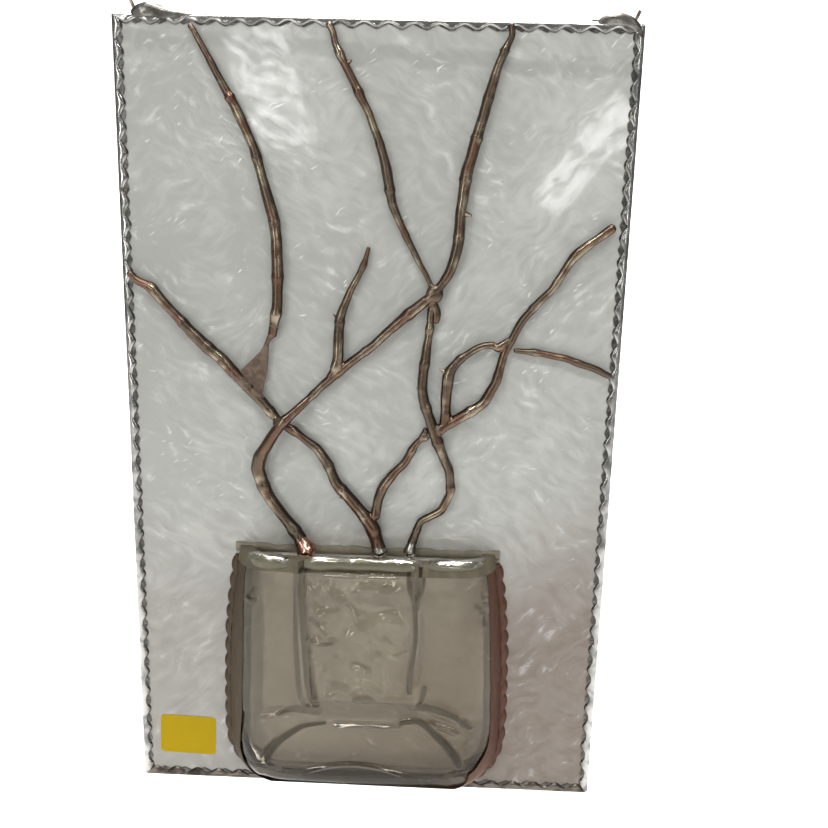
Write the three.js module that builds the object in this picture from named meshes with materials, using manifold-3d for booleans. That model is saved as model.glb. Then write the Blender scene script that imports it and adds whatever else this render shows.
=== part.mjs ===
// A hanging bud vase: a framed glass panel that carries a pocket cut from half a bottle, and
// foil-wrapped twigs that rise from the pocket's mouth and are soldered across the panel.
//
// Millimetres, +Z up. X runs along the panel, the viewer stands at -Y and the wall is at +Y.
// Everything is laid out from the panel: x = 0 is its centre line, y = 0 its front face and
// z = 0 its lower edge. The last lines move the whole so that its origin is where it hangs.

import * as THREE from "three";
import { mergeVertices } from "three/addons/utils/BufferGeometryUtils.js";
import Module from "manifold-3d";

const wasm = await Module();
wasm.setup();

// Driving dimensions

const CLEARANCE = 0.3;

const PANEL = { width: 203.2, height: 330.2, thickness: 3.2 };

const FOIL = { thickness: 0.3, pitch: 9.5, lip: 1.8, scallop: 2.0, steps: 4 };

// The solder bead on each foil keeps this far inside both the panel's edge and the lip
const EDGE_BEAD = { inset: 0.25, height: 0.8 };

const POCKET = {
  centre: -0.3,
  width: 121,
  mouth: 114,
  bottom: 4.4,
  depth: 19,
  mouthDepth: 15.5,
  wall: 3.4,
  base: 6,
};

// How far the shoulders draw in at the mouth, how the lower corners round off in the front view,
// and how the heel rounds off in the side view
const SHAPE = {
  shoulderDraw: 5.8,
  shoulderFrom: 25,
  cornerRise: 24,
  cornerRun: 19.5,
  heelRise: 14,
  heelRun: 9,
  sideRound: 16,
  crown: 1.2,
};

// The sunk label field between two upright ribs, and the step and sloping facet below it
const RELIEF = {
  left: -28,
  right: 21.5,
  ribWidth: 5,
  ribHeight: 1.3,
  sink: 0.8,
  foot: 50,
  stepDepth: 0.8,
  facetTop: 41,
  facetHalf: 43,
  facetDrop: 22,
  facetDepth: 1.6,
};

const STRIP = { inside: 4, lip: 1.6, scallop: 1.9, topHeight: 3.4, topDrop: 0.8 };

const WRAP = { height: 7, rimBand: 5 };

const SEAM = { width: 1.5, height: 1.6 };

const RIM_BEAD = { height: 1.5, gap: 4.4 };

// The twigs lie this far above the foils, and the outermost ones end this far inside the panel's
// edges; thickness is that of a full twig
const TWIG = { above: 0.5, margin: 5, thickness: 5, wrap: 0.3, sides: 6, step: 10, hollowEnd: 0.5 };

// The lumps that join twigs to the panel's edge beads have their middles this far in
const END_LUMP = { inset: 3.2 };

// Each hanging loop's middle is given from its own end of the panel's top edge
const HANGER = { wire: 1.4, span: 10, foot: 4, rise: 2.2, kink: 0.3, tail: 4, steps: 22 };
HANGER.from = { left: 15.6, right: 10.6 };

const MOUND = { length: 20, height: 3.2, thickness: 2.2, tip: 0.2, overhang: 0.2, steps: 10 };

// The sticker is as wide as the bare glass between the panel's edge foil and the pocket's strip,
// less a margin on either side
const STICKER = { margin: 3.75, height: 19, thickness: 0.15, corner: 2, tilt: 1.5, fromBottom: 11 };

// Each twig's points, from its open end to its closed one: across in percent of the way from the
// centre line to the outermost twig ends, up in percent of the rise from the pocket's mouth to the
// uppermost ones, thickness in percent of a full twig's and, where it passes over another twig, how
// far it lifts, in percent of the same
const TWIGS = {
  trunk: [
    [5.5, 0.4, 132],
    [3.9, 2.5, 104],
    [2.2, 5.3, 128],
    [-2, 8.2, 108],
    [-9, 11.8, 96],
    [-14.2, 14.5, 92],
    [-18.4, 18.8, 88],
    [-22.7, 21.6, 80],
    [-30.7, 24.3, 64],
    [-39.1, 26.7, 68],
    [-46.8, 31, 84],
    [-53.5, 34.2, 92],
    [-63.7, 39.1, 96],
    [-72.5, 42.5, 84],
    [-81.1, 46.5, 72],
    [-89, 50.5, 68],
    [-93.5, 52.8, 56],
    [-100.1, 54.2, 48],
  ],
  centre_fork: [
    [3.5, 8.9, 80],
    [4.2, 11.3, 84],
    [6.7, 14.5, 84],
    [11.6, 17.4, 72],
    [15.6, 19.1, 68],
    [19.6, 23, 60],
    [22.3, 24.2, 48],
  ],
  left_twig: [
    [-27.2, 0.3, 160],
    [-30.3, 2.9, 112],
    [-34.7, 5.5, 100],
    [-43.8, 11.1, 100],
    [-46.9, 14.2, 100],
    [-48.9, 17.2, 100, 10],
    [-47.2, 19.9, 96, 30],
    [-43.3, 23.2, 92, 70],
    [-37.3, 27.2, 80, 100],
    [-30.8, 30, 68, 68],
    [-26.1, 32, 60, 20],
    [-16.7, 36.1, 72],
    [-7.4, 39.7, 72],
    [1.2, 42.8, 68],
    [8.5, 46.2, 80],
    [17, 49.6, 90],
    [22.5, 51.7, 80],
  ],
  side_shoot: [
    [-14.1, 39.5, 88],
    [-13.8, 40.9, 88],
    [-13.8, 44.1, 84],
    [-13.4, 47.9, 80],
    [-9.2, 53, 60],
    [-3.4, 58.2, 44],
    [-1.7, 61.3, 30],
  ],
  top_left_twig: [
    [-42, 44.3, 68],
    [-39.9, 49.2, 90],
    [-39.5, 57.8, 92],
    [-40.8, 66.4, 90],
    [-45, 73, 80],
    [-48.8, 79.2, 72],
    [-54.8, 85.2, 76],
    [-63.8, 92.5, 56],
    [-72.8, 99.9, 44],
  ],
  top_right_twig: [
    [30, 55.5, 72],
    [32.5, 57.3, 80],
    [35.2, 62, 88],
    [36.1, 68.9, 88],
    [38, 76.2, 96],
    [40.7, 80.9, 88],
    [45.4, 89.1, 80],
    [49, 95.1, 64],
    [51.6, 97.9, 56],
    [53.9, 99.9, 48],
  ],
  upper_twig: [
    [23.1, 56.1, 44],
    [21.7, 57.3, 44],
    [14.4, 63.2, 52],
    [7.9, 69.3, 68],
    [5.4, 75.8, 84],
    [2.1, 80.9, 68],
    [-2.5, 86.1, 60],
    [-9.7, 92.3, 64],
    [-16.1, 97.7, 56],
    [-16.8, 99.9, 52],
  ],
  right_twig: [
    [18.6, 0.4, 100],
    [19.6, 2.4, 76],
    [22.9, 7, 64],
    [31.9, 9.3, 68],
    [36, 13.3, 68],
    [34.9, 18.1, 76],
    [30.2, 22.8, 90],
    [26.6, 27.5, 88],
    [23, 32.2, 84],
    [22, 35, 84],
    [23.3, 40.8, 76],
    [24.8, 47.5, 56],
    [25, 50, 56],
  ],
  right_branch: [
    [97.9, 66.3, 72],
    [89.1, 63.2, 68],
    [84.2, 61.4, 84],
    [81.5, 59.7, 68],
    [75.6, 55, 60],
    [63.1, 48.4, 64],
    [56.6, 42.2, 64],
    [53.5, 36.3, 76],
    [48.8, 32, 84],
    [38.7, 28.9, 88],
    [31.8, 27, 84],
  ],
  stub_twig: [
    [32.4, 31.1, 84],
    [32.6, 33.8, 90],
    [33.2, 37.9, 100],
    [37, 40.2, 64],
    [44.7, 42.8, 56],
    [49.1, 43.5, 56],
    [51.7, 43.5, 52],
  ],
  right_edge_twig: [
    [100.8, 38.2, 44],
    [96.2, 39.2, 48],
    [82.6, 41.3, 48],
    [68.9, 42.4, 44],
    [61.2, 42.5, 32],
  ],
};

// Each lump of solder at a meeting of twigs: its place in the same percents, the height of its
// middle off the panel and its half sizes along x, y and z in percent of a full twig's thickness,
// and the twigs that it is run around
const LUMPS = {
  crossing_solder: { at: [-38.7, 26.8], off: 104, half: [84, 36, 84], on: ["trunk", "left_twig"] },
  fork_solder: { at: [2, 7.8], off: 68, half: [72, 48, 60], on: ["trunk", "centre_fork"] },
  heart_solder: {
    at: [26.3, 53.1],
    off: 64,
    half: [100, 58, 108],
    on: ["left_twig", "right_twig", "upper_twig", "top_right_twig"],
  },
  shoot_solder: { at: [-14.3, 37.9], off: 58, half: [68, 44, 60], on: ["left_twig", "side_shoot"] },
  fork_tip_solder: { at: [23.8, 24.7], off: 52, half: [64, 38, 64], on: ["centre_fork", "right_twig"] },
  branch_solder: { at: [29.3, 26.2], off: 64, half: [68, 46, 72], on: ["right_twig", "right_branch"] },
  stub_solder: { at: [32.6, 29.5], off: 60, half: [60, 42, 64], on: ["right_branch", "stub_twig"] },
  arc_solder: { at: [54, 43], off: 48, half: [64, 32, 56], on: ["right_branch", "stub_twig"] },
};

// The lumps that fix twig ends to the mouth's strip, and those run into the panel's edge beads,
// which are placed along their edge
const BASES = {
  base_solder_left: { at: [-27, 0.3], off: 80, half: [108, 84, 60], on: ["left_twig"] },
  base_solder_centre: { at: [5.6, 0.3], off: 80, half: [100, 84, 60], on: ["trunk"] },
  base_solder_right: { at: [18.6, 0.3], off: 68, half: [80, 72, 56], on: ["right_twig"] },
};
const ENDS = {
  top: [
    { along: -73.2, off: 28, half: [52, 34, 52], on: ["top_left_twig"] },
    { along: -16.8, off: 28, half: [56, 38, 52], on: ["upper_twig"] },
    { along: 54.3, off: 28, half: [52, 34, 52], on: ["top_right_twig"] },
  ],
  left: [{ along: 54.3, off: 28, half: [56, 34, 48], on: ["trunk"] }],
  right: [{ along: 38.6, off: 28, half: [56, 32, 44], on: ["right_edge_twig"] }],
  bottom: [],
};

const WEB = { thickness: 1.4, off: 2.2, on: ["trunk", "top_left_twig"] };
WEB.corners = [
  [-43.1, 43.6],
  [-47.5, 40.7],
  [-55.5, 37.1],
  [-51.5, 33.8],
  [-46.8, 31.9],
  [-44.2, 36.9],
];

const COLOURS = {
  panelGlass: { color: 0xb9bbb6, roughness: 0.3, metalness: 0, transparent: true, opacity: 0.75 },
  bottleGlass: { color: 0x8f897d, roughness: 0.1, metalness: 0, transparent: true, opacity: 0.5 },
  copperFoil: { color: 0x8a5a48, roughness: 0.4, metalness: 0.9 },
  solder: { color: 0x77756f, roughness: 0.25, metalness: 1 },
  wire: { color: 0x8f8c86, roughness: 0.3, metalness: 1 },
  twigFoil: { color: 0x7a5548, roughness: 0.35, metalness: 0.9 },
  wood: { color: 0x6b4a33, roughness: 0.9, metalness: 0 },
  paper: { color: 0xe0b416, roughness: 0.8, metalness: 0 },
};

// Worked out from the driving dimensions

const halfWidth = PANEL.width / 2;
const backFace = PANEL.thickness;
const lipDepth = FOIL.lip + FOIL.scallop;
const cutPlane = 2 * FOIL.thickness;
const foilFace = CLEARANCE + FOIL.thickness;
const far = 2 * PANEL.height;

const materials = {};
for (const [name, look] of Object.entries(COLOURS)) {
  materials[name] = new THREE.MeshStandardMaterial(look);
}

// Closed bodies from rings of points

function signedVolume(points, faces) {
  let sum = 0;
  for (let i = 0; i < faces.length; i += 3) {
    const [a, b, c] = [points[faces[i]], points[faces[i + 1]], points[faces[i + 2]]];
    sum += a.dot(new THREE.Vector3().crossVectors(b, c)) / 6;
  }
  return sum;
}

function closedGeometry(points, faces) {
  if (signedVolume(points, faces) < 0) faces.reverse();
  const geometry = new THREE.BufferGeometry().setFromPoints(points);
  geometry.setIndex(faces);
  geometry.computeVertexNormals();
  return geometry;
}

// The faces that join equal rings side by side
function wallFaces(rings) {
  const count = rings[0].length;
  const faces = [];
  for (let r = 0; r + 1 < rings.length; r++) {
    for (let i = 0; i < count; i++) {
      const a = r * count + i;
      const b = r * count + ((i + 1) % count);
      faces.push(a, b, b + count, a, b + count, a + count);
    }
  }
  return faces;
}

// A body of equal rings, with the first and the last closed by a fan
function skin(rings) {
  const count = rings[0].length;
  const faces = wallFaces(rings);
  const last = (rings.length - 1) * count;
  for (let i = 1; i + 1 < count; i++) {
    faces.push(0, i + 1, i);
    faces.push(last, last + i, last + i + 1);
  }
  return closedGeometry(rings.flat(), faces);
}

// Manifold solids, for cutting and joining closed meshes

function solidOf(geometry) {
  const bare = geometry.clone();
  bare.deleteAttribute("normal");
  bare.deleteAttribute("uv");
  const merged = mergeVertices(bare);
  return new wasm.Manifold(
    new wasm.Mesh({
      numProp: 3,
      vertProperties: new Float32Array(merged.attributes.position.array),
      triVerts: new Uint32Array(merged.index.array),
    }),
  );
}

function geometryOf(solid) {
  const mesh = solid.getMesh();
  const geometry = new THREE.BufferGeometry();
  geometry.setAttribute("position", new THREE.BufferAttribute(mesh.vertProperties, mesh.numProp));
  geometry.setIndex(new THREE.BufferAttribute(mesh.triVerts, 1));
  geometry.computeVertexNormals();
  return geometry;
}

function boxSolid(low, high) {
  const size = high.map((value, i) => value - low[i]);
  const middle = high.map((value, i) => (value + low[i]) / 2);
  return solidOf(new THREE.BoxGeometry(...size).translate(...middle));
}

// A plate cut from an outline in the panel's plane, between two distances behind the front face
function plate(outline, front, back) {
  const shape = new THREE.Shape(outline.map(([x, z]) => new THREE.Vector2(x, z)));
  const geometry = new THREE.ExtrudeGeometry(shape, { depth: back - front, bevelEnabled: false });
  return geometry.rotateX(Math.PI / 2).translate(0, back, 0);
}

const parts = new THREE.Group();

function add(name, geometry, material) {
  const mesh = new THREE.Mesh(geometry, material);
  mesh.name = name;
  parts.add(mesh);
  return mesh;
}

// Scalloped copper foil around the panel's edge

// How deep the lip reaches in, at a distance along an edge of the given length
function scallopDepth(along, length) {
  const count = Math.max(1, Math.round(length / FOIL.pitch));
  return FOIL.lip + FOIL.scallop * (0.5 - 0.5 * Math.cos((2 * Math.PI * count * along) / length));
}

// A lip's outline along an edge that starts at the origin and runs along +x, with the ends mitred
function lipOutline(length) {
  const steps = FOIL.steps * Math.max(1, Math.round(length / FOIL.pitch));
  const mitre = CLEARANCE / 2;
  const points = [
    [mitre, 0],
    [length - mitre, 0],
  ];
  const room = length - 2 * (lipDepth + CLEARANCE);
  for (let i = steps; i >= 0; i--) {
    const along = (room * i) / steps;
    points.push([lipDepth + CLEARANCE + along, scallopDepth(along, room)]);
  }
  return points;
}

// turn puts the outline on its edge: it takes a distance along and a depth to x and z
function edgeFoil(length, turn, web) {
  const outline = lipOutline(length).map(([along, depth]) => turn(along, depth));
  const front = solidOf(plate(outline, -FOIL.thickness, 0));
  const back = solidOf(plate(outline, backFace, backFace + FOIL.thickness));
  return geometryOf(front.add(back).add(web));
}

const edges = {
  left: { length: PANEL.height, turn: (along, depth) => [depth - halfWidth, PANEL.height - along] },
  right: { length: PANEL.height, turn: (along, depth) => [halfWidth - depth, along] },
  bottom: { length: PANEL.width, turn: (along, depth) => [along - halfWidth, depth] },
  top: { length: PANEL.width, turn: (along, depth) => [halfWidth - along, PANEL.height - depth] },
};

// The strip that closes the channel outside the glass; the upright ones stand between the others
function edgeWeb(name) {
  const upright = name === "left" || name === "right";
  const inset = upright ? FOIL.thickness : 0;
  const [x0, z0] = edges[name].turn(inset, 0);
  const [x1, z1] = edges[name].turn(edges[name].length - inset, FOIL.thickness);
  return boxSolid(
    [Math.min(x0, x1), -FOIL.thickness, Math.min(z0, z1)],
    [Math.max(x0, x1), backFace + FOIL.thickness, Math.max(z0, z1)],
  );
}

function glassPanel() {
  const edge = FOIL.thickness;
  return new THREE.BoxGeometry(PANEL.width - 2 * edge, PANEL.thickness, PANEL.height - 2 * edge)
    .translate(0, PANEL.thickness / 2, PANEL.height / 2);
}

// A bead of solder: a low dome between two lines on a flat face; up points out of that face
function bead(stations, up) {
  const rings = stations.map(({ from, to, height }) => {
    const rise = up.clone().multiplyScalar(height);
    const at = (share, lift) => from.clone().lerp(to, share).addScaledVector(rise, lift);
    return [at(0, 0), at(0.2, 0.75), at(0.5, 1), at(0.8, 0.75), at(1, 0)];
  });
  return skin(rings);
}

const towardsViewer = new THREE.Vector3(0, -1, 0);

function edgeBead(name) {
  const { length, turn } = edges[name];
  const start = FOIL.lip + CLEARANCE;
  const stations = [start, length - start].map((along) => {
    const point = (depth) => {
      const [x, z] = turn(along, depth);
      return new THREE.Vector3(x, -FOIL.thickness, z);
    };
    return {
      from: point(EDGE_BEAD.inset),
      to: point(FOIL.lip - EDGE_BEAD.inset),
      height: EDGE_BEAD.height,
    };
  });
  return bead(stations, towardsViewer);
}

// Where a lump sits at an edge, from its percent along that edge
const endSpots = {
  top: (along) => [spot(along, 0)[0], PANEL.height - END_LUMP.inset],
  left: (along) => [END_LUMP.inset - halfWidth, spot(0, along)[1]],
  right: (along) => [halfWidth - END_LUMP.inset, spot(0, along)[1]],
};

// The bead along an edge with the lumps that hold the twigs ending there; a lump stops at the
// line of the panel's other beads
function edgeSolder(name) {
  const keep = FOIL.lip / 2;
  const inside = boxSolid([keep - halfWidth, -far, keep], [halfWidth - keep, far, PANEL.height - keep]);
  let solid = solidOf(edgeBead(name));
  for (const lump of ENDS[name]) {
    solid = solid.add(twigLump(lump, endSpots[name](lump.along)).intersect(inside));
  }
  return geometryOf(solid);
}

// Twigs

const reachOfTwigs = halfWidth - TWIG.margin;
const riseOfTwigs = PANEL.height - TWIG.margin - POCKET.mouth;

function spot(across, up) {
  return [(across / 100) * reachOfTwigs, POCKET.mouth + (up / 100) * riseOfTwigs];
}

function thickness(percent) {
  return (percent / 100) * TWIG.thickness;
}

// The centre line and thickness of a twig: every chosen point, and steps between far ones
function twigLine(points) {
  const knots = points.map(([across, up, thick, lift = 0]) => {
    const [x, z] = spot(across, up);
    const height = FOIL.thickness + TWIG.above + thickness(thick / 2 + lift);
    return new THREE.Vector3(x, -height, z);
  });
  const curve = new THREE.CatmullRomCurve3(knots, false, "centripetal");
  const spans = knots.length - 1;
  const line = [];
  const addStation = (place, thick) => {
    const t = place / spans;
    line.push({ at: curve.getPoint(t), along: curve.getTangent(t), radius: thickness(thick) / 2 });
  };
  for (let k = 0; k < spans; k++) {
    const count = Math.max(1, Math.round(knots[k].distanceTo(knots[k + 1]) / TWIG.step));
    for (let i = 0; i < count; i++) {
      addStation(k + i / count, THREE.MathUtils.lerp(points[k][2], points[k + 1][2], i / count));
    }
  }
  addStation(spans, points[spans][2]);
  return line;
}

function roundSection({ at, along }, radius, sides) {
  const side = new THREE.Vector3().crossVectors(along, towardsViewer).normalize();
  const up = new THREE.Vector3().crossVectors(side, along).normalize();
  const ring = [];
  for (let i = 0; i < sides; i++) {
    const angle = (2 * Math.PI * i) / sides;
    ring.push(
      at
        .clone()
        .addScaledVector(side, radius * Math.cos(angle))
        .addScaledVector(up, radius * Math.sin(angle)),
    );
  }
  return ring;
}

// The wood stays inside the flats of the many-sided sleeve
const flatShare = Math.cos(Math.PI / TWIG.sides);

function woodRadius(radius) {
  return (radius - TWIG.wrap) * flatShare - CLEARANCE;
}

// A sleeve of foil and solder: closed at the far end, open at the near one, where the wood shows
function twigSleeve(line) {
  const outer = line.map((station) => roundSection(station, station.radius, TWIG.sides));
  const inner = line
    .slice(0, -1)
    .map((station) => roundSection(station, station.radius - TWIG.wrap, TWIG.sides));
  return skin([...outer.reverse(), ...inner]);
}

// The wood ends short of the closed end
function twigWood(line) {
  const stations = line.slice(0, -1);
  const end = stations[stations.length - 1];
  const before = stations[stations.length - 2];
  const back = new THREE.Vector3().subVectors(before.at, end.at).setLength(TWIG.hollowEnd);
  stations[stations.length - 1] = { ...end, at: end.at.clone().add(back) };
  return skin(stations.map((station) => roundSection(station, woodRadius(station.radius), TWIG.sides)));
}

// A twig grown by the clearance and lengthened at both ends, to cut what is run around it
function twigCutter(line) {
  const stations = line.map((station) => ({ ...station, at: station.at.clone() }));
  stations[0].at.addScaledVector(stations[0].along, -CLEARANCE);
  stations[stations.length - 1].at.addScaledVector(stations[stations.length - 1].along, CLEARANCE);
  return solidOf(
    skin(stations.map((station) => roundSection(station, station.radius + CLEARANCE, TWIG.sides))),
  );
}

const twigLines = {};
for (const [name, points] of Object.entries(TWIGS)) twigLines[name] = twigLine(points);

// Solder lumps

function lumpSolid(centre, half) {
  const ball = new THREE.SphereGeometry(1, 10, 6).scale(...half).translate(...centre);
  return solidOf(ball);
}

// The body that is left when a lump is cut; flecks that come loose from it don't stay
function mainBody(solid) {
  const bodies = solid.decompose();
  return bodies.reduce((best, body) => (body.volume() > best.volume() ? body : best));
}

// A lump run around twigs, kept in front of the foils' face
function twigLump({ off, half, on }, [x, z]) {
  const inFront = boxSolid([-far, -far, -far], [far, -FOIL.thickness, far]);
  let lump = lumpSolid([x, -thickness(off), z], half.map(thickness)).intersect(inFront);
  for (const name of on) lump = lump.subtract(twigCutter(twigLines[name]));
  return mainBody(lump);
}

// The foil web that fills the crotch between two twigs
function webPlate() {
  const outline = WEB.corners.map((corner) => spot(...corner));
  let web = solidOf(plate(outline, -WEB.off - WEB.thickness, -WEB.off));
  for (const name of WEB.on) web = web.subtract(twigCutter(twigLines[name]));
  return geometryOf(mainBody(web));
}

// The half bottle

const bodyHalf = POCKET.width / 2;
const cornerTop = POCKET.bottom + SHAPE.cornerRise;
const heelTop = POCKET.bottom + SHAPE.heelRise;

function quarterRound(share) {
  return 1 - Math.sqrt(1 - Math.min(Math.max(share, 0), 1) ** 2);
}

// Half width and depth of the body at a level, grown by an amount, above a floor
function bodyAt(level, grow, floor) {
  const shoulder = Math.max(0, (level - SHAPE.shoulderFrom) / (POCKET.mouth - SHAPE.shoulderFrom)) ** 3;
  const corner = quarterRound((cornerTop - level) / (cornerTop - floor));
  const heel = quarterRound((heelTop - level) / (heelTop - floor));
  return {
    half: bodyHalf + grow - SHAPE.shoulderDraw * shoulder - SHAPE.cornerRun * corner,
    depth: POCKET.depth + grow - (POCKET.depth - POCKET.mouthDepth) * shoulder - SHAPE.heelRun * heel,
  };
}

// How far the outside stands proud of the smooth body: ribs, label field, step and facet
function relief(x, level) {
  const rib = (line) => Math.max(0, 1 - Math.abs(x - line) / (RELIEF.ribWidth / 2));
  const ribs = level < RELIEF.foot ? 0 : RELIEF.ribHeight * Math.max(rib(RELIEF.left), rib(RELIEF.right));
  const field = level > RELIEF.foot && x > RELIEF.left && x < RELIEF.right ? -RELIEF.sink : 0;
  const step = level < RELIEF.foot - RELIEF.ribWidth ? -RELIEF.stepDepth : 0;
  const arch = RELIEF.facetTop - RELIEF.facetDrop * (x / RELIEF.facetHalf) ** 2;
  const facet = (-RELIEF.facetDepth * Math.max(0, arch - level)) / (arch - POCKET.bottom);
  return Math.max(ribs, 0) + (ribs > 0 ? 0 : field) + step + (Math.abs(x) < RELIEF.facetHalf ? facet : 0);
}

const ribSide = RELIEF.ribWidth / 2;
const frontLines = [
  RELIEF.left - ribSide,
  RELIEF.left,
  RELIEF.left + ribSide,
  (RELIEF.left + RELIEF.right) / 2,
  RELIEF.right - ribSide,
  RELIEF.right,
  RELIEF.right + ribSide,
];
const widestLine = Math.max(...frontLines.map(Math.abs));
const sideAngles = [0, 18, 36, 54, 72, 90].map(THREE.MathUtils.degToRad);

// One level of the body: its front line from left to right, then its back line
function bodyRing(level, grow, floor, back, carved) {
  const { half, depth } = bodyAt(level, grow, floor);
  const round = SHAPE.sideRound;
  const squeeze = Math.min(1, (0.95 * (half - round)) / widestLine);
  const crown = (x) => SHAPE.crown * (1 - (x / half) ** 2);
  const side = sideAngles.map((angle) => [half - round * (1 - Math.cos(angle)), Math.sin(angle)]);
  const front = [];
  for (const [x, share] of side) front.push([-x, share]);
  for (const x of frontLines) front.push([x * squeeze, 1]);
  for (const [x, share] of [...side].reverse()) front.push([x, share]);
  const toPoint = (x, y) => new THREE.Vector3(POCKET.centre + x, -y, level);
  const frontPoints = front.map(([x, share]) => {
    const proud = carved ? share * relief(x, level) : 0;
    return toPoint(x, Math.max((depth - SHAPE.crown + crown(x)) * share + proud, back + 0.5));
  });
  const backPoints = front.map(([x]) => toPoint(x, back));
  return [...frontPoints, ...backPoints.reverse()];
}

// The whole body between two levels, capped flat, as a solid
function bodySolid({ grow = 0, floor, top, back, carved = false }) {
  const heelSteps = [0, 0.04, 0.15, 0.35, 0.65, 1].map((share) => floor + share * (heelTop - floor));
  const upper = [cornerTop, 36, 44, RELIEF.foot - 1, RELIEF.foot + 1, 68, 84, 96, 106];
  const levels = [...heelSteps, ...upper.filter((level) => level < top - 2), top];
  const rings = levels.map((level) => bodyRing(level, grow, floor, back, carved));
  const count = rings[0].length;
  const faces = wallFaces(rings);
  const last = (rings.length - 1) * count;
  for (let i = 0; i + 1 < count / 2; i++) {
    const [a, b, c, d] = [i, i + 1, count - 2 - i, count - 1 - i];
    faces.push(a, c, b, a, d, c);
    faces.push(last + a, last + b, last + c, last + a, last + c, last + d);
  }
  return solidOf(closedGeometry(rings.flat(), faces));
}

const aboveMouth = POCKET.mouth + 10;
const insideFloor = POCKET.bottom + POCKET.base;
const behind = -1;

// The bottle wall grown by the clearance on every side, to cut the foils that wrap it
function wallCutter() {
  const outside = bodySolid({
    grow: CLEARANCE,
    floor: POCKET.bottom - CLEARANCE,
    top: POCKET.mouth + CLEARANCE,
    back: cutPlane,
    carved: true,
  });
  const inside = bodySolid({
    grow: -POCKET.wall - CLEARANCE,
    floor: insideFloor + CLEARANCE,
    top: aboveMouth,
    back: behind,
  });
  return outside.subtract(inside);
}

function pocketGlass() {
  const outside = bodySolid({ floor: POCKET.bottom, top: POCKET.mouth, back: cutPlane, carved: true });
  const inside = bodySolid({ grow: -POCKET.wall, floor: insideFloor, top: aboveMouth, back: behind });
  return outside.subtract(inside);
}

// What is left free inside the foils
function insideFoils() {
  return bodySolid({
    grow: -POCKET.wall - foilFace,
    floor: insideFloor + foilFace,
    top: aboveMouth,
    back: behind,
  });
}

function foilOutside(top) {
  return bodySolid({
    grow: foilFace,
    floor: POCKET.bottom - foilFace,
    top,
    back: FOIL.thickness,
    carved: true,
  });
}

const rimFoot = POCKET.mouth - WRAP.rimBand;
const rimTop = POCKET.mouth + foilFace;

// The foil folded over the cut edge of the bottle, against the panel
function edgeWrap(wall, free) {
  const slab = boxSolid([-far, -WRAP.height, -far], [far, -FOIL.thickness, rimFoot - CLEARANCE]);
  return foilOutside(rimFoot).intersect(slab).subtract(wall).subtract(free);
}

// The foil folded over the mouth
function rimFoil(wall, free) {
  const slab = boxSolid([-far, -far, rimFoot], [far, -FOIL.thickness, far]);
  return foilOutside(rimTop).intersect(slab).subtract(wall).subtract(free);
}

// Solder run along the outside of the cut edge, on the strips: sign is -1 for the left side
function seamSolder(sign) {
  const outside = bodySolid({
    grow: foilFace + CLEARANCE + SEAM.width,
    floor: POCKET.bottom - foilFace,
    top: rimFoot,
    back: FOIL.thickness,
  });
  const body = bodySolid({
    grow: foilFace + CLEARANCE,
    floor: POCKET.bottom - foilFace - CLEARANCE,
    top: aboveMouth,
    back: behind,
    carved: true,
  });
  const [from, to] = sign < 0 ? [-far, POCKET.centre] : [POCKET.centre, far];
  const slab = boxSolid(
    [from, -FOIL.thickness - SEAM.height, lipDepth + CLEARANCE],
    [to, -FOIL.thickness, rimFoot - CLEARANCE],
  );
  return outside.intersect(slab).subtract(body);
}

// Beads on the mouth's foil, in three runs with the ribs bare between them
function rimBeads() {
  const mid = (x) => {
    const { half, depth } = bodyAt(POCKET.mouth, 0, POCKET.bottom);
    const flat = half - SHAPE.sideRound;
    const over = Math.min(Math.max((Math.abs(x) - flat) / SHAPE.sideRound, 0), 1);
    return { x, share: Math.sqrt(1 - over ** 2), half, depth };
  };
  const width = POCKET.wall + 2 * foilFace;
  const run = (from, to) => {
    const stations = [];
    const steps = Math.max(3, Math.round((to - from) / 5));
    for (let i = 0; i <= steps; i++) {
      const place = mid(from + ((to - from) * i) / steps);
      const outer = place.depth * place.share + foilFace;
      stations.push({
        from: new THREE.Vector3(POCKET.centre + place.x, -outer, rimTop),
        to: new THREE.Vector3(POCKET.centre + place.x, -outer + width, rimTop),
        height: RIM_BEAD.height,
      });
    }
    return bead(stations, new THREE.Vector3(0, 0, 1));
  };
  const { half } = bodyAt(POCKET.mouth, 0, POCKET.bottom);
  const end = half - 3;
  const gap = RIM_BEAD.gap / 2;
  return {
    rim_solder_left: run(-end, RELIEF.left - gap),
    rim_solder_centre: run(RELIEF.left + gap, RELIEF.right - gap),
    rim_solder_right: run(RELIEF.right + gap, end),
  };
}

// Scalloped strips on the panel around the pocket

// The pocket's outline on the panel, from the mouth down the left side and up the right one
function pocketOutline(grow) {
  const floor = POCKET.bottom - grow;
  const side = [];
  for (let level = rimFoot; level > cornerTop; level -= FOIL.pitch / 5) side.push(level);
  for (let angle = 0; angle <= 90; angle += 6) {
    side.push(cornerTop - (cornerTop - floor) * Math.sin(THREE.MathUtils.degToRad(angle)));
  }
  return side.map((level) => [bodyAt(level, grow, floor).half, level]);
}

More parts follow.
